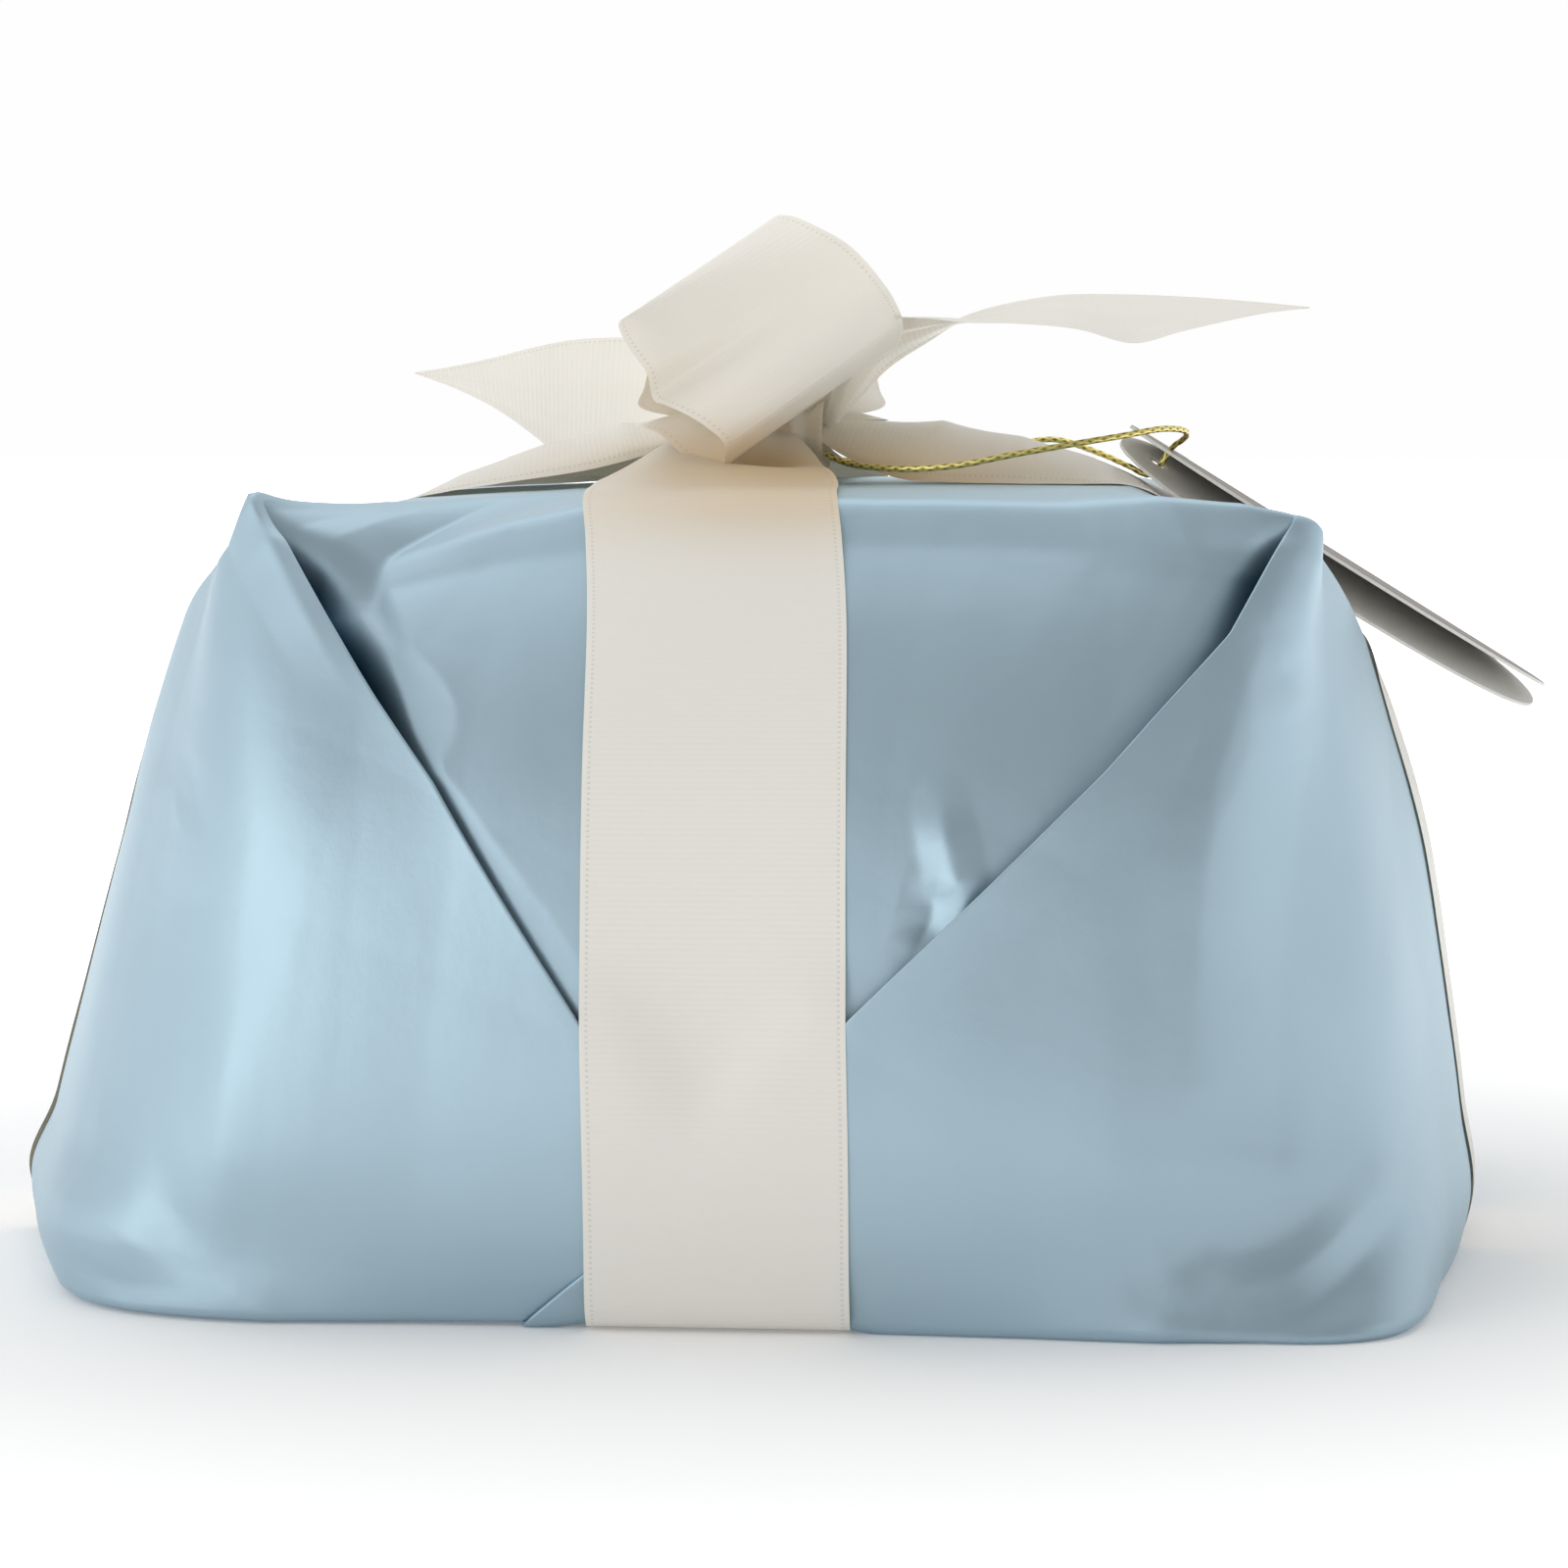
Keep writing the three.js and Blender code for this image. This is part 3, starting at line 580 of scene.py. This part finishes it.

# Paper with a pearl coat over a blue-grey print: a satin metal look, with the faint tooth of the paper. A
# deeper blue is painted deep in the pockets as painted shade, for the light that bounces between the folds
# there.
pearl_paper = blank("pearl_coated_paper")
where = add(pearl_paper, "ShaderNodeTexCoord")
by_place = {"Vector": (where, "Object")}
tooth = add(pearl_paper, "ShaderNodeTexNoise", (), by_place, Scale=2200, Detail=3)
cockle = add(pearl_paper, "ShaderNodeTexNoise", (), by_place, Scale=95, Detail=4, Roughness=0.55)
fine = add(pearl_paper, "ShaderNodeBump", (), {"Height": (tooth, 0)}, Strength=0.1, Distance=0.0001)
over_fine = {"Height": (cockle, 0), "Normal": (fine, 0)}
soft = add(pearl_paper, "ShaderNodeBump", (), over_fine, Strength=0.25, Distance=0.0006)
# The painted pocket shade, read from the points, turns the print blue towards a deeper blue.
painted_shade_amount = add(pearl_paper, "ShaderNodeAttribute", {"attribute_name": "tucked"})
print_blue_to_painted_shade = {0: (painted_shade_amount, "Fac"), 6: linear("#a9c0cc"), 7: linear("#2a6a90")}
print_and_painted_shade = add(pearl_paper, "ShaderNodeMix", {"data_type": "RGBA"}, print_blue_to_painted_shade)
coat = {"Base Color": (print_and_painted_shade, 2), "Normal": (soft, 0)}
skin = add(pearl_paper, "ShaderNodeBsdfPrincipled", (), coat, Metallic=0.88, Roughness=0.5)
add(pearl_paper, "ShaderNodeOutputMaterial", (), {"Surface": (skin, 0)})
paper = smooth_piece(
    "wrapping_paper_sheet", paper_points, paper_faces, pearl_paper, ["wrapping_paper"]
)
# The painted pocket shade is stored on the points as the attribute tucked.
paper.data.attributes.new("tucked", "FLOAT", "POINT").data.foreach_set("value", np.concatenate(tucked))

# ---- the two bands of ribbon ----
# Single-face satin ribbon, 38 mm wide, with woven selvedges. One length crosses under the parcel and comes up
# at the front and back, the other at the two ends, and both are gathered into the knot.
ribbon_half = 19.0
paper_tree = BVHTree.FromPolygons(paper_points.tolist(), paper_faces)

# Ivory polyester satin: a soft sheen, cross ribs from the weft, a denser edge with a row of stitches, and a
# warm tint where light comes through; below the bow a warm tan is also painted in as painted light. The ribs
# are drawn at two threads each so that they show.
satin = blank("ivory_polyester_satin")
flat = add(satin, "ShaderNodeUVMap", {"uv_map": "flat"})
split = add(satin, "ShaderNodeSeparateXYZ", (), {"Vector": (flat, 0)})
rib_pitch, thread_pitch, stitch_pitch = 0.87, 0.55, 0.8
selvedge_at = ribbon_half - 1.0
# The weave as sums, each with its name, its operation, and what goes in. Across and along are in millimetres.
sums = {"across": (split, 0), "along": (split, 1)}
for name, operation, *terms in (
    ("rib turn", "MULTIPLY", "along", 2 * math.pi / rib_pitch),
    ("rib", "SINE", "rib turn"),
    ("thread turn", "MULTIPLY", "across", 2 * math.pi / thread_pitch),
    ("thread", "SINE", "thread turn"),
    ("from middle", "ABSOLUTE", "across"),
    ("selvedge", "GREATER_THAN", "from middle", selvedge_at),
    ("seam", "COMPARE", "from middle", selvedge_at, 0.22),
    ("stitch turn", "MULTIPLY", "along", 2 * math.pi / stitch_pitch),
    ("stitch", "SINE", "stitch turn"),
    ("stitch top", "MAXIMUM", "stitch", 0.0),
    ("dots", "MULTIPLY", "seam", "stitch top"),
    ("not selvedge", "SUBTRACT", "selvedge", 1.0),
    ("ribs inside", "MULTIPLY", "rib", "not selvedge"),
    ("rib height", "MULTIPLY", "ribs inside", -0.5),
    ("dot height", "MULTIPLY", "dots", -2.0),
    ("rib and dot", "ADD", "rib height", "dot height"),
    ("thread height", "MULTIPLY", "thread", 0.1),
    ("height", "ADD", "rib and dot", "thread height"),
    ("dot shade", "MULTIPLY", "dots", 0.3),
):
    sockets = {place: sums.get(term, term) for place, term in enumerate(terms)}
    sums[name] = (add(satin, "ShaderNodeMath", {"operation": operation}, sockets), 0)
weave = add(satin, "ShaderNodeBump", (), {"Height": sums["height"]}, Strength=0.35, Distance=0.00006)
# Painted light: this attribute mixes a warm tan into the ivory below the bow.
painted_warm_light = add(satin, "ShaderNodeAttribute", {"attribute_name": "painted_warm_light"})
ivory_to_painted_warm_light = {0: (painted_warm_light, "Fac"), 6: linear("#f1eee6"), 7: linear("#d6b47e")}
warm = add(satin, "ShaderNodeMix", {"data_type": "RGBA"}, ivory_to_painted_warm_light)
to_stitch = {0: sums["dot shade"], 6: (warm, 2), 7: linear("#a89c80")}
shaded = add(satin, "ShaderNodeMix", {"data_type": "RGBA"}, to_stitch)
woven = {"Base Color": (shaded, 2), "Normal": (weave, 0)}
skin = add(satin, "ShaderNodeBsdfPrincipled", (), woven, Roughness=0.38, Sheen_Weight=0.2)
through = add(satin, "ShaderNodeBsdfTranslucent", Color=linear("#f3e6cb"))
cloth = add(satin, "ShaderNodeMixShader", (), {1: (skin, 0), 2: (through, 0)}, Fac=0.14)
add(satin, "ShaderNodeOutputMaterial", (), {"Surface": (cloth, 0)})
ribbon_columns, row_step = 37, 0.9


def ribbon(name, edges, nodes, held, crown=None, lay=None):
    """A strip of ribbon from rows of its two edges' points, with how far across they are where it is cut."""
    edges = np.array([(*row, -1, 1) if len(row) == 6 else row for row in edges], float)
    middle = (edges[:, :3] + edges[:, 3:6]) / 2
    knots = chord_knots(middle)
    fine = smooth_at(knots, np.hstack([middle, edges]), np.linspace(0, knots[-1], 3000))
    gone = np.concatenate([[0], np.cumsum(np.linalg.norm(np.diff(fine[:, :3], axis=0), axis=1))])
    count = int(gone[-1] / row_step)
    at = np.linspace(0, gone[-1], count)
    line = np.stack([np.interp(at, gone, fine[:, k]) for k in range(fine.shape[1])], axis=1)
    share = np.linspace(0, 1, ribbon_columns)[None, :, None]
    points = line[:, None, 3:6] * (1 - share) + line[:, None, 6:9] * share
    if crown is not None:
        normal = np.cross(np.gradient(line[:, :3], axis=0), line[:, 6:9] - line[:, 3:6])
        normal /= np.linalg.norm(normal, axis=1, keepdims=True)
        height = crown(at[:, None] / gone[-1], share[..., 0] * 2 - 1, at[:, None])
        points = points + normal[:, None] * height[..., None]
    if lay is not None:
        points = lay(points)
    true_across = line[:, 9:10] * (1 - share[..., 0]) + line[:, 10:11] * share[..., 0]
    uv = np.stack(np.broadcast_arrays(true_across * ribbon_half, at[:, None]), axis=-1)
    faces = grid_quads(count, ribbon_columns)
    points = points.reshape(-1, 3)
    piece = smooth_piece(name, points, faces, satin, nodes, uv.reshape(-1, 2))
    # A warm tan painted into the colour below the bow, as painted light for the light passing between ribbon
    # lying doubled there.
    x, y, z = points.T
    close = np.exp(-(((x - 12) / 34) ** 2) - ((y + 28) / 44) ** 2 - ((z - 119.5) / 7.5) ** 2)
    painted_warmth = piece.data.attributes.new("painted_warm_light", "FLOAT", "POINT")
    painted_warmth.data.foreach_set("value", np.minimum(1, 1.15 * close))
    if not held:
        return piece
    # The cut length is the longer edge's; where an end is cut on the slant, the other edge stops earlier.
    uncut = line[:, 9] < -0.99
    both = (line[uncut, 3:6], line[:, 6:9])
    lengths = [float(np.linalg.norm(np.diff(edge, axis=0), axis=1).sum()) for edge in both]
    whole, area = max(lengths), sum(lengths) / 2 * 2 * ribbon_half
    if uncut.all():
        whole, area = float(gone[-1]), float(gone[-1]) * 2 * ribbon_half
    area *= mm * mm
    return piece


def blur(field, spread, axis):
    """A grid of values, evened out along one axis."""
    reach = int(3 * spread)
    weights = np.exp(-0.5 * (np.arange(-reach, reach + 1) / spread) ** 2)
    padded = np.pad(field, [(reach, reach) if k == axis else (0, 0) for k in range(field.ndim)], mode="edge")
    parts = [w * np.take(padded, np.arange(field.shape[axis]) + k, axis=axis) for k, w in enumerate(weights)]
    return sum(parts) / weights.sum()


def laid_on_paper(points):
    """Moves a band's points in or out so that it lies on the paper, bridging small hollows."""
    middle = points[:, points.shape[1] // 2]
    ahead = np.gradient(middle, axis=0)
    across = points[:, -1] - points[:, 0]
    out = np.cross(ahead, across)
    out /= np.linalg.norm(out, axis=1, keepdims=True)
    out *= np.sign((out * (middle - (3, 0, 60))).sum(axis=1, keepdims=True))
    gap = np.zeros(points.shape[:2])
    reach, underside = 14.0, 2.5
    # A ray from outside finds how far each point is from the paper. Under the parcel the band stays put.
    for i in range(points.shape[0]):
        if middle[i, 2] < underside:
            continue
        for j in range(points.shape[1]):
            start = points[i, j] + out[i] * reach
            hit = paper_tree.ray_cast(start.tolist(), (-out[i]).tolist(), 2.2 * reach)
            gap[i, j] = reach - hit[3] if hit[3] is not None else 0
    # The front-to-back band bridges the folds, so it follows the highest paper within a few cells.
    over_folds = abs(across[len(across) // 2][0]) > 1
    near = np.clip((125 - middle[:, 2]) / 3, 0, 1)[:, None] if over_folds else 1
    gap = gap * near
    cells = 5 if over_folds else 1
    wide = np.pad(gap, cells, mode="edge")
    around_it = [(i, j) for i in range(2 * cells + 1) for j in range(2 * cells + 1)]
    highest = np.max([wide[i : i + gap.shape[0], j : j + gap.shape[1]] for i, j in around_it], axis=0)
    lifted = blur(blur(highest, 0.7 * cells, 0), 0.6 * cells, 1) + 0.15 * (middle[:, 2] > underside)[:, None]
    # Near the top a band is only pushed clear of the paper, never drawn down to it.
    free = np.clip((middle[:, 2] - 117.5) / 3, 0, 1)[:, None]
    lifted = lifted * (1 - free) + np.maximum(lifted, 0) * free
    points = points + out[:, None] * blur(lifted, 1, 0)[..., None]
    points[..., 2] = np.maximum(points[..., 2], 0.16)
    return points


def band_edges(stations, across):
    """Both edges of a band from its middle line and half width."""
    rows = np.array(stations, float)
    step = rows[:, 3:4] * np.array(across)
    return np.hstack([rows[:, :3] - step, rows[:, :3] + step])


front_half = [
    (1, -7, 127, 7.5),
    (0, -10, 126, 9.5),
    (-0.6, -14, 124.8, 11.8),
    (-0.6, -20, 123.4, 14),
    (-0.2, -29, 122.2, 15.8),
    (0.2, -39, 121.3, 17.2),
    (0.2, -50, 120.2, 18.6),
    (0.2, -58, 118.8, 19),
    (1.5, -66, 113, 19),
    (3, -77, 102, 19),
    (4, -90.5, 79, 19),
    (4.6, -98.8, 50, 19),
    (5.2, -101.4, 26, 19),
    (5.2, -100, 8, 19),
    (5.2, -97.4, 1.4, 19),
    (5, -93, 0.3, 19),
    (5, -60, 0.3, 19),
]
back_half = [(x, -y, z, half) for x, y, z, half in front_half[::-1]]


def gathered(share, across, gone):
    """How a band arches and creases where it is drawn together into the knot."""
    run = np.minimum(gone, gone[-1] - gone)
    arch = 3 * np.exp(-(((run - 12) / 14) ** 2)) * (1 - across**2)
    crease = -3.4 * np.exp(-(((across - 0.3) / 0.5) ** 2) - ((run - 17) / 6) ** 2)
    return arch + crease + 0.7 * np.exp(-run / 12) * np.sin(across * 7 + 0.8)


ribbon(
    "band_front_to_back",
    band_edges(front_half + [(5, 0, 0.3, 19)] + back_half, (1, 0, 0)),
    ["ribbon_front_back_band"],
    "stretched",
    crown=gathered,
    lay=laid_on_paper,
)
# Beside the knot the band stands off the paper, its far edge high and its near edge low.
left_rise = [
    (1, -4, 127.6, 1, 2, 129.6),
    (-6, -8, 126.2, -7, 7, 127),
    (-13, -14, 124.2, -15, 13, 121.6),
    (-23, -18.5, 121.6, -26, 18, 118.4),
    (-38, -19, 119.3, -39, 18.5, 117),
    (-50, -19.2, 117.2, -50.5, 18.6, 116.4),
]
right_rise = [
    (11, -4.5, 126.8, 11, 2, 129.3),
    (17, -9, 123.4, 18, 8, 128.4),
    (25, -14.5, 120.4, 26, 14, 125.6),
    (33, -18.3, 119.8, 36, 18.3, 122.2),
    (45, -19.2, 119.6, 46.4, 18.6, 120.7),
    (57, -19.2, 119.2, 57.6, 18.8, 119.5),
]
# Its middle line as x and z, down the left end, under the parcel and up the right end.
side_path = [
    (-62, 113), (-72, 113), (-80, 108), (-88, 98), (-97, 84), (-102, 64), (-109, 41),
    (-114.8, 21.5), (-114.8, 9), (-111.5, 1.6), (-107, 0.3), (-60, 0.3), (-26, 0.3), (-17, 0.9),
    (5, 0.9), (27, 0.9), (36, 0.3), (60, 0.3), (109, 0.3), (113.5, 1.6), (116.4, 9), (117, 21.5),
    (113.9, 41), (109.5, 63), (103.7, 81), (100.5, 91.6), (92, 101), (84, 108), (72, 115),
]


def arched(share, across, gone):
    """How high a band's middle stands over its two edges beside the knot."""
    run = np.minimum(gone, gone[-1] - gone)
    rise = np.interp(run, (0, 10, 20, 34, 48, 62), (0, 4, 7.4, 6.4, 3, 0))
    return -rise * (1 - across**2) ** 0.8


middle_rows = band_edges([(x, 0, z, ribbon_half) for x, z in side_path], (0, 1, 0))
side_edges = left_rise + [tuple(row) for row in middle_rows] + right_rise[::-1]
ribbon(
    "band_end_to_end",
    side_edges,
    ["ribbon_side_to_side_band"],
    "stretched",
    crown=arched,
    lay=laid_on_paper,
)

# ---- the bow ----
# The same ribbon tied in a bow: a knot over the crossing, two loops and two tails, all gathered in the knot.
def knot_pleats(share, across, gone):
    """The lengthwise folds of ribbon drawn tight, and the way the wrap spreads at its edges."""
    return 0.55 * np.cos(across * 9.5 + 0.6) + 0.3 * np.cos(across * 4 + share * 6) - 1.2 * across**4


knot_edges = []
for degrees in range(-30, 331, 30):
    a = math.radians(degrees)
    place = (-2 - 6.4 * math.cos(a), 126 + 4.8 * math.sin(a))
    knot_edges.append((-0.5, *place, 13.2, place[0] - 0.4, place[1] + 0.3))
knot = ribbon("bow_knot_wrap", knot_edges, ["bow_knot"], None, crown=knot_pleats)

# Rows are both edges of the ribbon, from the knot round the loop and back.
front_loop_edges = [
    (2, -6, 127.5, 8, -3, 128.5),
    (-9, -13, 128.6, 14, -3, 133),
    (-15.6, -19, 128.7, 19, -5, 138),
    (-11.4, -22.6, 127.4, 21.5, -6.5, 139),
    (-7.3, -24.5, 124, 24, -8, 140),
    (-0.9, -30.1, 122, 25.3, -10.2, 141.4),
    (-0.1, -32, 123.6, 26, -12, 143.2),
    (-0.1, -34, 126.1, 26, -13.6, 145.4),
    (-4.1, -32, 129.3, 24.6, -14.6, 148.6),
    (-9.6, -27.8, 131.8, 22.8, -14.7, 151.2),
    (-11.9, -25.6, 132.6, 20.5, -14, 154),
    (-12.6, -28, 136.6, 17.4, -13.4, 156.9),
    (-15.4, -29.6, 140.9, 12.6, -11, 159.6),
    (-16.8, -29.8, 144.4, 7.4, -6.5, 161.6),
    (-15.2, -28, 145.3, 4.4, -1.5, 161.2),
    (-13.5, -26.3, 142, 4, 2.5, 158),
    (-12.7, -26.4, 138, 6, 5, 152),
    (-13.5, -24, 134.5, 8, 5, 146),
    (-14.8, -19.5, 131.5, 9, 4, 140),
    (-9, -12, 129.8, 9, 3, 134),
    (2, -6, 128.8, 8, 0, 130),
]
ribbon(
    "bow_loop_front", front_loop_edges, ["bow_front_loop"], "folded"
)
# The back loop is the front one turned round the knot and a little smaller.
back_loop_edges = []
for row in front_loop_edges:
    turned = []
    for k in (0, 3):
        x, y, z = row[k] - 6, row[k + 1] + 2, row[k + 2] - 127
        turned += [4 - x * 0.82, 3 - y * 0.95, 127.6 + z * 0.82]
    back_loop_edges.append(tuple(turned))
ribbon("bow_loop_back", back_loop_edges, ["bow_back_loop"], "folded")

# The tails end in a slanting cut, so their last rows run from the cut to the longer edge.
left_tail_edges = [
    (1, 0, 127.6, 2, 6, 131),
    (-4, 5, 126.6, -4, 19, 138),
    (-10, 11, 124.4, -10, 34, 142),
    (-18, 17, 122.2, -19, 45, 142.6),
    (-30, 18.8, 121.2, -33.5, 48.5, 142.2, -1, 1),
    (-37.5, 26, 126, -41, 47.5, 140.8, -0.5, 1),
    (-45, 33, 130.5, -48, 46.5, 139, 0, 1),
    (-53, 39.5, 133.9, -54.5, 45, 137.6, 0.5, 1),
    (-60.4, 43.8, 136.4, -60.8, 44.2, 136.6, 0.98, 1),
]


def neck_pleats(share, across, gone):
    """Folds that start in the knot and open out along the ribbon."""
    return np.exp(-gone / 19) * (1.7 * np.sin(across * 8 + 1) + 0.6 * np.sin(across * 17))


ribbon(
    "bow_tail_left", left_tail_edges, ["bow_left_tail"], "folded", crown=neck_pleats
)
right_tail_edges = [
    (12, -2, 129, 14, 2, 128.4),
    (16, -8, 138, 17.5, 6, 132),
    (22, -13, 145, 22.5, 12, 137.6),
    (29, -17, 145.5, 29, 16, 142),
    (36, -18, 144.7, 34.4, 17, 145.5),
    (43.9, -18, 144.5, 41, 17.5, 147.8),
    (53.6, -18.5, 143.6, 50, 18, 149.3),
    (62.2, -19, 141.4, 59.5, 18, 149.4, -1, 1),
    (69.5, -10, 143.2, 68, 18, 149.1, -0.5, 1),
    (76.6, -1, 144.9, 76, 17.8, 148.6, 0, 1),
    (83.4, 8.5, 146.3, 83, 17.5, 148, 0.5, 1),
    (90, 16.8, 147.1, 90.2, 17.2, 147.3, 0.98, 1),
]
ribbon(
    "bow_tail_right", right_tail_edges, ["bow_right_tail"], "folded", crown=neck_pleats
)

# ---- the gift tag ----
# A folded card with rounded ends, 0.5 mm thick, dark brown outside and plain pale inside. The gold cord holds
# it through a punched hole, and it leans on the shoulder of the parcel.
cards = []
for name, grain, dark, light, relief, dull in (
    ("matt_printed_card", 1500, "#5b4d43", "#75675b", 0.15, 0.42),
    ("uncoated_card", 1300, "#d9d7d2", "#e8e6e1", 0.2, 0.7),
):
    card = blank(name)
    where = add(card, "ShaderNodeTexCoord")
    fibre = add(card, "ShaderNodeTexNoise", (), {"Vector": (where, "Object")}, Scale=grain, Detail=3)
    mottled = {0: (fibre, 0), 6: linear(dark), 7: linear(light)}
    tint = add(card, "ShaderNodeMix", {"data_type": "RGBA"}, mottled)
    rough = add(card, "ShaderNodeBump", (), {"Height": (fibre, 0)}, Strength=relief, Distance=0.00008)
    face = {"Base Color": (tint, 2), "Normal": (rough, 0)}
    skin = add(card, "ShaderNodeBsdfPrincipled", (), face, Roughness=dull)
    add(card, "ShaderNodeOutputMaterial", (), {"Surface": (skin, 0)})
    cards.append(card)
brown_card, pale_card = cards

tag_end = np.array((61.5, 24, 128.2))
tag_swing = math.radians(32.5)
card_thickness, leaf_length, hole_radius = 0.5, 78, 1.8
# The two leaves: how far each is opened in degrees, which side of it is printed, and how far it curls up.
leaves = ((0, 1, 0.9), (9, -1, 0.36))
# A leaf's rounded outline as four curves, each with two ends and two handles.
leaf_beziers = [
    ((22, 0), (8, 0), (0, -8.1), (0, -18)),
    ((0, -18), (0, -28.8), (12, -36), (34, -36)),
    ((34, -36), (60, -36), (78, -30.6), (78, -18)),
    ((78, -18), (78, -7.2), (68, 0), (54, 0)),
]
outline = []
for a, b, c, d in leaf_beziers:
    for t in np.linspace(0, 1, 24, endpoint=False):
        weights = ((1 - t) ** 3, 3 * t * (1 - t) ** 2, 3 * t**2 * (1 - t), t**3)
        outline.append([sum(w * p[k] for w, p in zip(weights, (a, b, c, d))) for k in (0, 1)])
outline = np.array(outline)
angle = np.linspace(0, 2 * math.pi, 24, endpoint=False)
hole = np.array([(7 + hole_radius * math.cos(a), -18 + hole_radius * math.sin(a)) for a in angle])
tag_points, tag_faces, tag_skins = [], [], []
for opened, dark_side, curl in leaves:
    drawing = bpy.data.curves.new("leaf", "CURVE")
    drawing.dimensions = "2D"
    drawing.fill_mode = "BOTH"
    drawing.extrude = card_thickness / 2 * mm
    for ring in (outline, hole):
        spline = drawing.splines.new("POLY")
        spline.points.add(len(ring) - 1)
        spline.use_cyclic_u = True
        for point, (x, y) in zip(spline.points, ring):
            point.co = (x * mm, y * mm, 0, 1)
    stand_in = bpy.data.objects.new("leaf", drawing)
    leaf = bpy.data.meshes.new_from_object(stand_in)
    points = np.array([v.co for v in leaf.vertices]) / mm
    lift = math.radians(opened)
    x, y, z = points.T
    z = z + curl * (x / leaf_length) ** 2
    y, z = y * math.cos(lift) - z * math.sin(lift), y * math.sin(lift) + z * math.cos(lift)
    cos, sin = math.cos(tag_swing), math.sin(tag_swing)
    x, z = x * cos + z * sin, z * cos - x * sin
    for polygon in leaf.polygons:
        tag_faces.append([i + len(tag_points) for i in polygon.vertices])
        tag_skins.append(0 if polygon.normal.z * dark_side > 0.5 else 1)
    tag_points += (np.stack([x, y, z], axis=1) + tag_end).tolist()
    bpy.data.objects.remove(stand_in)
tag = smooth_piece("folded_gift_tag", tag_points, tag_faces, brown_card, ["gift_tag"])
tag.data.materials.append(pale_card)
tag.data.polygons.foreach_set("material_index", tag_skins)
tag.data.polygons.foreach_set("use_smooth", [False] * len(tag_faces))

# ---- the loaf ----
# The panettone: a low domed sweet bread, deep brown on top and paler where it tore as it rose. It stands in
# its case under the paper.
loaf_top, loaf_foot, loaf_rows, loaf_sides = 108.9, 6.0, 130, 240
crust = blank("baked_crust")
where = add(crust, "ShaderNodeTexCoord")
patch = add(crust, "ShaderNodeTexNoise", (), {"Vector": (where, "Object")}, Scale=45, Detail=6, Roughness=0.6)
pores = add(crust, "ShaderNodeTexVoronoi", (), {"Vector": (where, "Object")}, Scale=420)
browns = {0: (patch, 0), 6: linear("#5c2f14"), 7: linear("#b9742f")}
tint = add(crust, "ShaderNodeMix", {"data_type": "RGBA"}, browns)
rough = add(crust, "ShaderNodeBump", (), {"Height": (pores, 0)}, Strength=0.5, Distance=0.0008)
baked = {"Base Color": (tint, 2), "Normal": (rough, 0)}
skin = add(crust, "ShaderNodeBsdfPrincipled", (), baked, Roughness=0.55)
add(crust, "ShaderNodeOutputMaterial", (), {"Surface": (skin, 0)})
profile = [(2, loaf_foot), (60, loaf_foot), (82, loaf_foot + 1), (86, loaf_foot + 4), (87, 30), (87, 56)]
profile += [(86.4, 66), (82, 80), (72, 92), (55, 101), (34, 106.5), (14, 108.6), (1, loaf_top)]
knots = chord_knots(np.pad(np.array(profile, float), ((0, 0), (0, 1))))
outline = smooth_at(knots, np.array(profile, float), np.linspace(0, knots[-1], loaf_rows))
angle = np.linspace(0, 2 * math.pi, loaf_sides, endpoint=False)
rise = 1 - 0.006 * (np.sin(5 * angle + 1) + np.sin(11 * angle))[None]
x = outline[:, :1] * np.cos(angle) * rise
y = outline[:, :1] * np.sin(angle) * rise
hollows = 0.6 * (np.sin(x * 0.21 + 2) * np.sin(y * 0.17) + 1) * (outline[:, 1:] > 60)
z = outline[:, 1:] * np.ones(loaf_sides) - hollows
loaf_points = np.stack([x, y, z], axis=-1).reshape(-1, 3)
loaf_faces = grid_quads(loaf_rows, loaf_sides, closed=True)
loaf_faces += [list(range(loaf_sides))[::-1], list(range(len(loaf_points) - loaf_sides, len(loaf_points)))]
smooth_piece("baked_loaf", loaf_points, loaf_faces, crust, ["panettone_loaf"])

# ---- the baking case ----
# Brown greaseproof paper, pressed into fine pleats round the loaf, in which it was baked.
case_radius, case_foot, case_rim, case_pleats = 90.2, 4.7, 52.8, 96
greaseproof = blank("brown_greaseproof_paper")
where = add(greaseproof, "ShaderNodeTexCoord")
fibre = add(greaseproof, "ShaderNodeTexNoise", (), {"Vector": (where, "Object")}, Scale=260, Detail=4)
browns = {0: (fibre, 0), 6: linear("#6b4326"), 7: linear("#8a5c38")}
tint = add(greaseproof, "ShaderNodeMix", {"data_type": "RGBA"}, browns)
skin = add(greaseproof, "ShaderNodeBsdfPrincipled", (), {"Base Color": (tint, 2)}, Roughness=0.6)
add(greaseproof, "ShaderNodeOutputMaterial", (), {"Surface": (skin, 0)})
case_sides = case_pleats * 10
angle = np.linspace(0, 2 * math.pi, case_sides, endpoint=False)
# The case's section from the middle of its floor out and up: share of the radius, and height.
case_profile = [(0.02, case_foot), (0.5, case_foot), (0.97, case_foot), (0.99, case_foot + 1)]
case_profile += [(1, case_foot + 5), (1, 30), (1, case_rim)]
case_rows = []
for share, z in case_profile:
    radius = (case_radius - 0.7 + 0.6 * np.cos(case_pleats * angle) * (share > 0.98)) * share
    x, y = radius * np.cos(angle), radius * np.sin(angle)
    case_rows.append(np.stack([x, y, np.full(case_sides, z)], axis=1))
case_points = np.array(case_rows).reshape(-1, 3)
case_faces = grid_quads(len(case_profile), case_sides, closed=True)
smooth_piece(
    "pleated_baking_case", case_points, case_faces, greaseproof, ["baking_case"]
)
